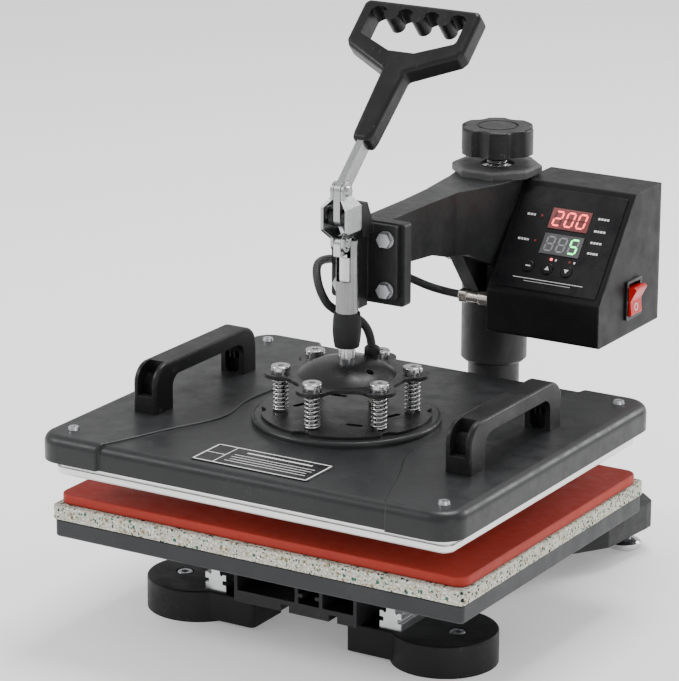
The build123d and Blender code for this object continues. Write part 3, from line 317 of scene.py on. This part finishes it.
def woven_sleeve(name, colour):
    """Braided sleeve: two crossing sets of fine threads."""
    look = Look(name, colour, 0.5)
    height = None
    for tilt in (-0.7, 0.7):
        wave = look.add("ShaderNodeTexWave", wave_type="BANDS", bands_direction="DIAGONAL")
        turned = look.add("ShaderNodeMapping")
        turned.inputs["Rotation"].default_value = (tilt, tilt, 2 * tilt)
        look.link(look.where, turned.inputs["Vector"])
        look.link(turned.outputs["Vector"], wave.inputs["Vector"])
        wave.inputs["Scale"].default_value = 260
        height = look.times(height, wave.outputs["Fac"]) if height else wave.outputs["Fac"]
    # The raised crossings of the threads are painted lighter than the gaps: painted highlight on top,
    # painted shade between.
    look.paint(look.remap(height, 0.1, 0.8, 0, 0.7), tuple(2.6 * c + 0.006 for c in colour))
    look.bump(height, 0.00035)
    return look.material


def display_glass(name, colour):
    """Tinted display window: smooth, with a darker cloud behind it."""
    look = Look(name, colour, 0.12)
    look.soften(0.4 * mm)
    look.paint(look.remap(look.grain(30, 4), 0.45, 0.7, 0, 0.5), tuple(0.4 * c for c in colour))
    look.rough(look.grain(50, 4), 0.06, 0.20)
    return look.material


def glow(name, colour, strength):
    """Lamps and display segments: a glow that is faintly uneven from one to the next."""
    look = Look(name, tuple(0.5 * c for c in colour), 0.35)
    look.paint(look.remap(look.grain(300, 3), 0.4, 0.7, 0, 0.5), colour)
    look.shader.inputs["Emission Color"].default_value = (*colour, 1)
    look.shader.inputs["Emission Strength"].default_value = strength
    return look.material


def print_ink(name, colour):
    """Screen-printed ink: slightly uneven and satin."""
    look = Look(name, colour, 0.5)
    look.paint(look.remap(look.grain(900, 3), 0.45, 0.75, 0, 0.5), tuple(0.72 * c for c in colour))
    look.bump(look.grain(1600, 2), 0.00003)
    return look.material


charcoal = enamel("charcoal_enamel", (0.016, 0.0165, 0.0175), 0.36)
head_enamel = enamel("head_enamel", (0.010, 0.010, 0.011), 0.30, wear_and_highlight=0.3)
bracket_enamel = casting("bracket_enamel", (0.012, 0.012, 0.013), 0.36, pit=0.0001, wear_and_highlight=0.3)
plate_enamel = enamel("plate_enamel", (0.024, 0.025, 0.027), 0.40)
# The control box's edges are lightened strongly, as a painted highlight along its rounded sheet bends.
box_enamel = enamel("box_enamel", (0.008, 0.008, 0.009), 0.38, peel=0.00010, grain_size=1300, wear_and_highlight=0.8,
                    rounding=2.4 * mm, specular=0.15)
panel_film = enamel("panel_film", (0.006, 0.006, 0.007), 0.28, peel=0.00002, wear_and_highlight=0.1)
arm_casting = casting("arm_casting", (0.015, 0.0155, 0.016), 0.40)
base_skin = casting("base_casting_skin", (0.010, 0.0105, 0.011), 0.46)
cap_skin = casting("cap_casting_skin", (0.070, 0.070, 0.072), 0.55, pit=0.0003)
black_plastic = plastic("black_plastic", (0.0075, 0.0075, 0.008), 0.36)
feet_rubber = plastic("feet_rubber", (0.0065, 0.0065, 0.007), 0.50, texture=0.00014, grain_size=900)
knob_plastic = plastic("knob_plastic", (0.0085, 0.0085, 0.009), 0.34)
bush_rubber = casting("bush_rubber", (0.008, 0.008, 0.0085), 0.50, pit=0.0002, wear_and_highlight=0.1)
gloss_plastic = plastic("gloss_plastic", (0.008, 0.008, 0.009), 0.20, texture=0.00003)
key_plastic = plastic("key_plastic", (0.007, 0.007, 0.0075), 0.30, texture=0.00004)
red_rocker = plastic("red_rocker", (0.55, 0.012, 0.010), 0.22, texture=0.00003)
zinc = metal("zinc_plate", (0.52, 0.53, 0.545), 0.30)
chrome = metal("chrome_plate", (0.60, 0.60, 0.61), 0.17, grime=0.3)
screw_thread = threaded("screw_thread", (0.62, 0.62, 0.62), 3 * mm)
linkage = metal("linkage_plate", (0.44, 0.445, 0.45), 0.30, streak=(6, 1, 1), depth=0.00004, radius=0.7 * mm)
drawn_tube = metal("drawn_tube", (0.27, 0.27, 0.275), 0.25, streak=(1, 1, 0.05), streak_size=500)
rail_metal = metal("rail_aluminium", (0.74, 0.75, 0.76), 0.33, streak=(1, 0.04, 1), streak_size=500)
deck_metal = enamel("deck_anodised", (0.018, 0.018, 0.020), 0.42, wear_and_highlight=0.6)
heater_metal = metal("heater_aluminium", (0.86, 0.86, 0.85), 0.42, streak=(0.05, 1, 1), streak_size=420,
                     grime=0.2)
spring_metal = metal("spring_wire", (0.62, 0.62, 0.62), 0.22, streak=(1, 1, 1), radius=0.2 * mm)
nickel = metal("nickel_plug", (0.72, 0.68, 0.62), 0.22, streak=(0.1, 1, 1), streak_size=700)
sheet_silicone = silicone()
foam = rebonded_foam()
sleeve_black = woven_sleeve("cable_sleeve", (0.012, 0.012, 0.013))
lead_sleeve = woven_sleeve("lead_sleeve", (0.45, 0.43, 0.38))
red_glass = display_glass("red_display_glass", (0.26, 0.085, 0.085))
grey_glass = display_glass("green_display_glass", (0.12, 0.12, 0.125))
lit_red = glow("lit_red", (1.0, 0.10, 0.09), 4.0)
lit_green = glow("lit_green", (0.10, 1.0, 0.25), 4.0)
lamp = glow("lamp", (0.30, 0.03, 0.03), 0.15)
unlit_red = glow("unlit_red", (0.16, 0.02, 0.02), 0.05)
unlit_grey = glow("unlit_green", (0.42, 0.42, 0.43), 0.05)
white_ink = print_ink("white_ink", (0.72, 0.72, 0.72))
silver_ink = print_ink("silver_ink", (0.80, 0.80, 0.80))
board_lacquer = plastic("board_lacquer", (0.02, 0.16, 0.06), 0.30)
wool = plastic("insulation_wool", (0.62, 0.60, 0.55), 0.90, texture=0.0006, grain_size=700)

finishes = [
    (base_skin, ["base_casting"]),
    (feet_rubber, ["front_feet"]),
    (zinc, ["front_foot_bolts", "rear_stem_left", "rear_stem_right", "thrust_plug", "bracket_bolts",
            "cable_socket", "cover_screws"]),
    (deck_metal, ["slide_deck"]),
    (rail_metal, ["slide_rails"]),
    (arm_casting, ["column", "swing_arm"]),
    (chrome, ["rear_pad_left", "rear_pad_right", "slide_carriages", "pressure_nut", "lever_pin",
              "plunger_rod", "spring_bolts"]),
    (plate_enamel, ["lower_platen"]),
    (knob_plastic, ["pressure_knob"]),
    (screw_thread, ["pressure_screw"]),
    (cap_skin, ["arm_cap"]),
    (bracket_enamel, ["toggle_bracket"]),
    (drawn_tube, ["guide_tube"]),
    (bush_rubber, ["guide_bush"]),
    (box_enamel, ["box_shell", "box_rear_cover", "box_bracket"]),
    (panel_film, ["control_panel", "label_plate"]),
    (red_glass, ["temperature_display"]),
    (grey_glass, ["timer_display"]),
    (lamp, ["indicator_lamps"]),
    (gloss_plastic, ["rocker_bezel"]),
    (black_plastic, ["power_inlet", "lever_grip", "cable_gland", "side_handles"]),
    (board_lacquer, ["circuit_board"]),
    (red_rocker, ["power_rocker"]),
    (key_plastic, ["set_button", "up_button", "down_button"]),
    (nickel, ["heater_plug", "plug_ring"]),
    (linkage, ["lever_bar", "link_yoke", "heating_element"]),
    (head_enamel, ["spider_plate", "head_plate"]),
    (charcoal, ["cover_shell"]),
    (heater_metal, ["heating_plate"]),
    (wool, ["insulation_board"]),
    (lead_sleeve, ["heater_lead"]),
]
for material, node_names in finishes:
    for node_name in node_names:
        for material_slot in nodes[node_name].material_slots:
            material_slot.material = material


# ---------------------------------------------------------------- mesh building

def skin(builder, rings):
    """Faces between rings of equally many vertices."""
    count = len(rings[0])
    for ring, following in zip(rings, rings[1:]):
        for k in range(count):
            n = (k + 1) % count
            builder.faces.new((ring[k], ring[n], following[n], following[k]))


def closed_skin(builder, rings):
    """The same, with the first and the last ring filled."""
    skin(builder, rings)
    builder.faces.new(rings[0])
    builder.faces.new(rings[-1])


def finish_mesh(name, builder, material, body, smooth=True):
    """Turns a bmesh into a piece that rides on a body, or on none yet."""
    bmesh.ops.recalc_face_normals(builder, faces=builder.faces)
    mesh = bpy.data.meshes.new(name)
    builder.to_mesh(mesh)
    builder.free()
    for polygon in mesh.polygons:
        polygon.use_smooth = smooth
    piece = bpy.data.objects.new(name, mesh)
    bpy.context.scene.collection.objects.link(piece)
    mesh.materials.append(material)
    if body:
        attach(piece, body)
    return piece


def tube_mesh(builder, points, radius, sides):
    """Sweeps a circle along the points, with its ends closed, turning it as little as possible."""
    along = (points[1] - points[0]).normalized()
    side = along.orthogonal().normalized()
    rings = []
    for index, point in enumerate(points):
        before, after = points[max(index - 1, 0)], points[min(index + 1, len(points) - 1)]
        along = (after - before).normalized()
        side = (side - along * side.dot(along)).normalized()
        up = along.cross(side)
        spokes = [cos(tau * k / sides) * side + sin(tau * k / sides) * up for k in range(sides)]
        rings.append([builder.verts.new(point + radius * spoke) for spoke in spokes])
    closed_skin(builder, rings)


def rounded_outline(half_x, half_y, corner):
    """Points round a rectangle with round corners, counter-clockwise."""
    per_corner, per_side = 7, 26
    corner = max(corner, 0.5 * mm)
    arcs = []
    for quarter, (sx, sy) in enumerate(((1, 1), (-1, 1), (-1, -1), (1, -1))):
        centre = Vector((sx * (half_x - corner), sy * (half_y - corner)))
        angles = [(quarter + k / per_corner) * pi / 2 for k in range(per_corner + 1)]
        arcs.append([centre + corner * Vector((cos(angle), sin(angle))) for angle in angles])
    points = []
    for arc, following in zip(arcs, arcs[1:] + arcs[:1]):
        points.extend(arc)
        points.extend(arc[-1].lerp(following[0], k / per_side) for k in range(1, per_side))
    return points


# ---------------------------------------------------------------- pads

def pad(name, node, corner, edge, ripple, grain_size, material):
    """A soft slab in its CAD solid's space: rounded rims, an uneven cut side and a faint crown."""
    low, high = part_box(node)
    centre = (low + high) / 2
    half_x, half_y = (high.x - low.x) / 2, (high.y - low.y) / 2
    height = high.z - low.z
    crown_insets = [inset * mm for inset in (6, 14, 30, 55, 90, 125)]
    rims = [(edge * (1 - sin(a)), edge * (1 - cos(a))) for a in (pi / 8 * k for k in range(5))]
    levels = [(inset, low.z + rise) for inset, rise in rims]
    levels += [(0.0, low.z + edge + (height - 2 * edge) * k / 5) for k in range(1, 5)]
    levels += [(inset, high.z - rise) for inset, rise in reversed(rims)]
    levels += [(inset, high.z) for inset in crown_insets]
    builder = bmesh.new()
    rings = []
    for inset, z in levels:
        ring = []
        for flat in rounded_outline(half_x - inset, half_y - inset, corner - inset):
            where = Vector((centre.x + flat.x, centre.y + flat.y, z))
            wobble = noise.noise(where * grain_size) + 0.5 * noise.noise(where * grain_size * 2.7)
            outward = Vector((flat.x, flat.y, 0)).normalized()
            where -= outward * ripple * (1 + wobble) * 0.5
            if inset > edge:
                where.z -= 0.25 * ripple * (1 + noise.noise(where * 9))
            ring.append(builder.verts.new(where))
        rings.append(ring)
    closed_skin(builder, rings)
    piece = finish_mesh(name, builder, material, "drawer")
    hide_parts(node)


pad("foam_slab", "foam_pad", 5 * mm, 1.2 * mm, 0.7 * mm, 260, foam)
pad("silicone_slab", "silicone_pad", 11 * mm, 1.4 * mm, 0.25 * mm, 60, sheet_silicone)


# ---------------------------------------------------------------- pressure springs

spring_count = 6
first_spring_angle = 30  # degrees, from +X
bolt_head_radius = 8 * mm  # the six spring bolts reach this far past their circle
spring_wire = 0.95 * mm  # radius of the wire
spring_radius = 5.7 * mm  # middle of the coil to the middle of the wire
free_turns, closed_turns = 6.5, 1.0


def coil(bottom, top, phase):
    """The middle of the wire of a spring whose end turns are closed, round the Z axis."""
    steps_per_turn = 26
    closed_rise = 2.1 * spring_wire
    free_rise = top - bottom - 2 * closed_rise
    total = free_turns + 2 * closed_turns
    points = []
    for k in range(int(total * steps_per_turn) + 1):
        turn = k / steps_per_turn
        if turn < closed_turns:
            z = bottom + closed_rise * turn / closed_turns
        elif turn > total - closed_turns:
            z = top - closed_rise * (total - turn) / closed_turns
        else:
            z = bottom + closed_rise + free_rise * (turn - closed_turns) / free_turns
        angle = tau * turn + phase
        points.append(Vector((spring_radius * cos(angle), spring_radius * sin(angle), z)))
    return points


def coil_springs():
    """The compression springs between the head plate and the spider."""
    bolts_low, bolts_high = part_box("spring_bolts")
    axis = (bolts_low + bolts_high) / 2
    circle = (bolts_high.y - bolts_low.y) / 2 - bolt_head_radius
    clearance = 0.05 * mm
    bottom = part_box("head_plate")[1].z + spring_wire + clearance
    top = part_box("spider_plate")[0].z - spring_wire - clearance
    for index in range(spring_count):
        angle = radians(first_spring_angle + 360 / spring_count * index)
        place = Vector((axis.x + circle * cos(angle), axis.y + circle * sin(angle), 0))
        builder = bmesh.new()
        tube_mesh(builder, [place + point for point in coil(bottom, top, index)], spring_wire, 10)
        piece = finish_mesh(f"pressure_spring_{index + 1}", builder, spring_metal, "platen")
        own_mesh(piece)
        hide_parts("pressure_springs")


coil_springs()


# ---------------------------------------------------------------- heater cable

def smooth_path(route):
    """Points along the smooth line that the route's points control."""
    curve = bpy.data.curves.new("cable_route", "CURVE")
    curve.dimensions = "3D"
    curve.resolution_u = 24
    spline = curve.splines.new("NURBS")
    spline.points.add(len(route) - 1)
    for control, point in zip(spline.points, route):
        control.co = (*point, 1)
    spline.order_u = 3
    spline.use_endpoint_u = True
    guide = bpy.data.objects.new("cable_route", curve)
    bpy.context.scene.collection.objects.link(guide)
    line = bpy.data.meshes.new_from_object(guide)
    path = [vertex.co.copy() for vertex in line.vertices]
    bpy.data.objects.remove(guide)
    bpy.data.meshes.remove(line)
    return path


def heater_cable():
    """The cable from the plug on the control box, round the toggle, to the gland on the spider."""
    cable_radius = 3.5 * mm
    plug_low, plug_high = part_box("heater_plug")
    plug_y, plug_z = (plug_low.y + plug_high.y) / 2, (plug_low.z + plug_high.z) / 2
    gland_low, gland_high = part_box("cable_gland")
    gland = (gland_low + gland_high) / 2
    head = (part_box("guide_tube")[0].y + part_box("guide_tube")[1].y) / 2
    route = [
        (plug_low.x + 6 * mm, plug_y, plug_z),
        (-24 * mm, plug_y, plug_z),
        (-46 * mm, head + 164 * mm, 248 * mm),
        (-50 * mm, head + 124 * mm, 263 * mm),
        (-49 * mm, head + 84 * mm, 276 * mm),
        (-47 * mm, head + 54 * mm, 287 * mm),
        (-44 * mm, head + 27 * mm, 291 * mm),
        (-35 * mm, head + 9 * mm, 286.5 * mm),
        (-26.5 * mm, head + 2 * mm, 273 * mm),
        (-19.5 * mm, head + 8 * mm, 257.5 * mm),
        (gland.x, gland.y, 246 * mm),
        (gland.x, gland.y, gland_high.z - 7.5 * mm),
    ]
    path = smooth_path(route)
    builder = bmesh.new()
    tube_mesh(builder, path, cable_radius, 20)
    piece = finish_mesh("heater_cable_sleeve", builder, sleeve_black, None)
    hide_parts("heater_cable")
    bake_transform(piece)


heater_cable()


# ---------------------------------------------------------------- control panel
# The panel slopes. Its own places are in millimetres: u to the right of its middle, and v up the slope.

slope_run, slope_rise = 65, 83
panel_middle_v = 52.71  # half of the slope's length
half_panel = 0.4 * mm  # half of the panel's thickness
print_thickness = 0.12
display_lift = 0.62  # from the panel's face to just proud of the display's glass
display_u, temperature_v, timer_v = 2, 72.8, 49.2
lamp_row_v, key_row_v = 35.3, 26.5
heat_lamp_u = -3

panel_low, panel_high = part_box("control_panel")
panel_up = Vector((0, slope_run, slope_rise)).normalized()
panel_out = Vector((0, -slope_rise, slope_run)).normalized()
panel_face = (panel_low + panel_high) / 2 + panel_out * half_panel


def on_panel(u, v, lift):
    """The point at (u, v), lifted off the panel's face by some millimetres."""
    along = Vector((u * mm, 0, 0)) + panel_up * (v - panel_middle_v) * mm
    return panel_face + along + panel_out * lift * mm


def flat_shape(builder, outline, lift):
    """A thin printed or lit shape on the panel, from (u, v) corners."""
    rings = []
    for level in (lift, lift + print_thickness):
        rings.append([builder.verts.new(on_panel(u, v, level)) for u, v in outline])
    closed_skin(builder, rings)


def bar(x, y, width, height):
    """The corners of an upright rectangle round its middle."""
    left, right = x - width / 2, x + width / 2
    bottom, top = y - height / 2, y + height / 2
    return [(left, bottom), (right, bottom), (right, top), (left, top)]


# Each segment's middle, in digit widths across and half heights up, and whether it stands upright.
segment_places = {"a": (0, 1, False), "b": (0.5, 0.5, True), "c": (0.5, -0.5, True), "d": (0, -1, False),
                  "e": (-0.5, -0.5, True), "f": (-0.5, 0.5, True), "g": (0, 0, False)}
digit_segments = {"0": "abcdef", "2": "abged", "5": "afgcd", " ": ""}
digit_width, digit_half_height, digit_pitch, digit_slant = 6.8, 6.4, 11.2, 0.10
segment_thickness, segment_gap = 1.5, 0.35


def segment_outline(across, rise, upright):
    """The slanted, pointed bar of one segment round a digit's middle."""
    half = (digit_half_height if upright else digit_width) / 2 - segment_gap
    tip = segment_thickness / 2
    shoulder = half - tip
    corners = [(-half, 0), (-shoulder, -tip), (shoulder, -tip), (half, 0), (shoulder, tip), (-shoulder, tip)]
    if upright:
        corners = [(-y, x) for x, y in corners]
    u, v = across * digit_width, rise * digit_half_height
    return [(u + x + digit_slant * (v + y), v + y) for x, y in corners]


def seven_segments(name, text, middle_v, lit, unlit):
    """Three slanted seven-segment digits, with the lit and the unlit segments as separate pieces."""
    for part, material in (("lit", lit), ("unlit", unlit)):
        builder = bmesh.new()
        for place, character in enumerate(text):
            middle_u = display_u + (place - (len(text) - 1) / 2) * digit_pitch
            for segment, shape in segment_places.items():
                if (segment in digit_segments[character]) == (part == "lit"):
                    outline = [(middle_u + u, middle_v + v) for u, v in segment_outline(*shape)]
                    flat_shape(builder, outline, display_lift)
        finish_mesh(f"{name}_{part}_segments", builder, material, "arm", smooth=False)


def panel_print():
    """Plain printed marks where a panel carries its captions, with two rules at the bottom."""
    captions = (
        (-35, 73.5, (2.4, 2.4, 1.6)),
        (-35, 50.2, (2.4, 1.8, 2.4, 1.6)),
        (32, 78, (2, 2, 2, 2)),
        (32, 66.5, (2.4, 1.6, 2.4, 2)),
        (32, 55.8, (2, 2, 2, 2)),
        (32, 46, (2, 1.4, 2.4, 1.8)),
        (1.2, lamp_row_v, (1.6,)),
        (18.6, lamp_row_v, (1.6,)),
    )
    mark_height, gap = 1.9, 0.7
    builder = bmesh.new()
    for u, v, lengths in captions:
        start = u - (sum(lengths) + gap * (len(lengths) - 1)) / 2
        for length in lengths:
            flat_shape(builder, bar(start + length / 2, v, length, mark_height), 0.0)
            start += length + gap
    for v, width, height in ((15.4, 66, 0.6), (13.0, 44, 0.35)):
        flat_shape(builder, bar(0, v, width, height), 0.0)
    finish_mesh("panel_print", builder, white_ink, "arm", smooth=False)


def arrow(u, way):
    """A triangle on a key that points up the slope, or down it where way is -1."""
    base, point = key_row_v - 1.5 * way, key_row_v + 2.1 * way
    return [(u - 2.2, base), (u + 2.2, base), (u, point)]


def key_prints():
    """A mark on each key: a bar, an up arrow and a down arrow."""
    key_top = 1.0
    marks = {"set": bar(-22, key_row_v, 4.6, 1.1), "up": arrow(-4, 1), "down": arrow(14, -1)}
    for key, outline in marks.items():
        builder = bmesh.new()
        flat_shape(builder, outline, key_top)
        finish_mesh(f"{key}_key_mark", builder, white_ink, f"{key}_key", smooth=False)


def heat_lamp():
    """The one indicator that is lit: a small domed lens over the heat lamp."""
    radius, dome, sides = 1.3, 0.7, 16
    builder = bmesh.new()
    rings = []
    for rise in (0.0, 0.3, 0.55):
        spread = radius * (1 - (rise / dome) ** 2) ** 0.5
        ring = []
        for k in range(sides):
            u, v = heat_lamp_u + spread * cos(tau * k / sides), lamp_row_v + spread * sin(tau * k / sides)
            ring.append(builder.verts.new(on_panel(u, v, 0.5 + rise)))
        rings.append(ring)
    closed_skin(builder, rings)
    finish_mesh("heat_lamp_lens", builder, lit_red, "arm")


seven_segments("temperature", "200", temperature_v, lit_red, unlit_red)
seven_segments("timer", "  5", timer_v, lit_green, unlit_grey)
panel_print()
key_prints()
heat_lamp()


# ---------------------------------------------------------------- rocker mark and label

def ring_strip(builder, centre, across, up, out, radius, width):
    """A thin flat ring that stands on the plane of across and up."""
    sides, thickness = 28, 0.1 * mm
    edges = ((radius, 0), (radius, thickness), (radius - width, thickness), (radius - width, 0))
    rings = []
    for r, lift in edges:
        spokes = [across * cos(tau * k / sides) + up * sin(tau * k / sides) for k in range(sides)]
        rings.append([builder.verts.new(centre + r * spoke + lift * out) for spoke in spokes])
    skin(builder, rings + rings[:1])


def rocker_mark():
    """A white ring on the lower half of the power rocker's face."""
    low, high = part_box("rocker_bezel")
    tilt = radians(11)
    across = Vector((cos(tilt), 0, -sin(tilt)))
    along = Vector((sin(tilt), 0, cos(tilt)))
    pivot = Vector((high.x - 3 * mm, (low.y + high.y) / 2, (low.z + high.z) / 2))
    valley = pivot + 4.5 * mm * across
    lower_edge = pivot + 8 * mm * across - 11.8 * mm * along
    down = (lower_edge - valley).normalized()
    sideways = Vector((0, 1, 0))
    out = sideways.cross(down)
    if out.x < 0:
        out.negate()
    builder = bmesh.new()
    ring_strip(builder, valley.lerp(lower_edge, 0.5), sideways, down, out, 3.4 * mm, 1.1 * mm)
    finish_mesh("rocker_off_mark", builder, white_ink, "power_switch", smooth=False)


def label_frame():
    """A silver border, two rules and plain bars on the plate at the front of the cover."""
    thickness = 0.1 * mm
    low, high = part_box("label_plate")
    centre = (low + high) / 2
    border = [(0, 19.6, 105, 1.3), (0, -19.6, 105, 1.3), (-52, 0, 1.3, 40), (52, 0, 1.3, 40)]
    rules = [(-34, 0, 0.8, 38), (-43, 0, 17, 0.8)]
    lines = [(9, 12, 60, 2.2), (9, 4, 74, 0.8), (9, -1, 74, 0.8), (9, -6, 70, 0.8), (9, -11, 74, 0.8)]
    builder = bmesh.new()
    for mark in border + rules + lines:
        rings = []
        for z in (high.z, high.z + thickness):
            corners = [(centre.x + x * mm, centre.y + y * mm, z) for x, y in bar(*mark)]
            rings.append([builder.verts.new(corner) for corner in corners])
        closed_skin(builder, rings)
    finish_mesh("label_border", builder, silver_ink, "platen", smooth=False)


rocker_mark()
label_frame()


# ---------------------------------------------------------------- floor, light and camera

def paper_floor():
    """A pale paper floor, wide enough to reach the horizon."""
    reach = 40
    corners = [(-reach, -reach, 0), (reach, -reach, 0), (reach, reach, 0), (-reach, reach, 0)]
    mesh = bpy.data.meshes.new("floor")
    mesh.from_pydata(corners, [], [(0, 1, 2, 3)])
    floor = bpy.data.objects.new("floor", mesh)
    bpy.context.scene.collection.objects.link(floor)
    paper = Look("floor_paper", (0.93, 0.93, 0.93), 0.75)
    paper.paint(paper.remap(paper.grain(3, 3), 0.4, 0.7, 0, 0.5), (0.95, 0.95, 0.95))
    paper.shader.inputs["Emission Color"].default_value = (1, 1, 1, 1)
    paper.shader.inputs["Emission Strength"].default_value = 0.24
    mesh.materials.append(paper.material)


def studio_light():
    """An even white surrounding, and four soft lamps: (name, place, aim, size in metres, watts)."""
    world = bpy.data.worlds.new("studio")
    world.use_nodes = True
    background = world.node_tree.nodes["Background"]
    background.inputs["Color"].default_value = (1.0, 1.0, 1.0, 1)
    background.inputs["Strength"].default_value = 0.75
    bpy.context.scene.world = world
    for name, place, aim, size, power in (
        ("key", (-1.9, -1.3, 1.7), (0, 0, 0.15), 0.9, 34),
        ("fill", (2.4, -1.2, 0.9), (0, 0, 0.2), 0.9, 10),
        ("top", (0.0, 0.9, 2.6), (0, 0.2, 0.1), 1.2, 60),
        ("back", (1.2, 2.4, 1.2), (0, 0, 0.25), 1.0, 30),
    ):
        light = bpy.data.lights.new(name, "AREA")
        light.energy = power
        light.size = size
        holder = bpy.data.objects.new(name, light)
        holder.location = place
        holder.rotation_euler = (Vector(aim) - Vector(place)).to_track_quat("-Z", "Y").to_euler()
        bpy.context.scene.collection.objects.link(holder)


def camera():
    """Long lens, from the right of the front and a little above."""
    azimuth, elevation, roll = radians(31.02), radians(16.73), radians(0.25)
    distance = 2.87326
    sensor_width, focal_length = 36, 183.8174  # both in millimetres
    platen_low, platen_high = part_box("lower_platen")
    target = Vector((-0.0398, (platen_low.y + platen_high.y) / 2 + 0.0466, 0.2169))
    back = Vector((sin(azimuth) * cos(elevation), -cos(azimuth) * cos(elevation), sin(elevation)))
    lens = bpy.data.cameras.new("camera")
    lens.sensor_fit = "HORIZONTAL"
    lens.sensor_width = sensor_width
    lens.lens = focal_length
    holder = bpy.data.objects.new("camera", lens)
    holder.location = target + back * distance
    turned = (-back).to_track_quat("-Z", "Y").to_matrix() @ Matrix.Rotation(roll, 3, "Z")
    holder.rotation_euler = turned.to_euler()
    bpy.context.scene.collection.objects.link(holder)
    bpy.context.scene.camera = holder


paper_floor()
studio_light()
camera()
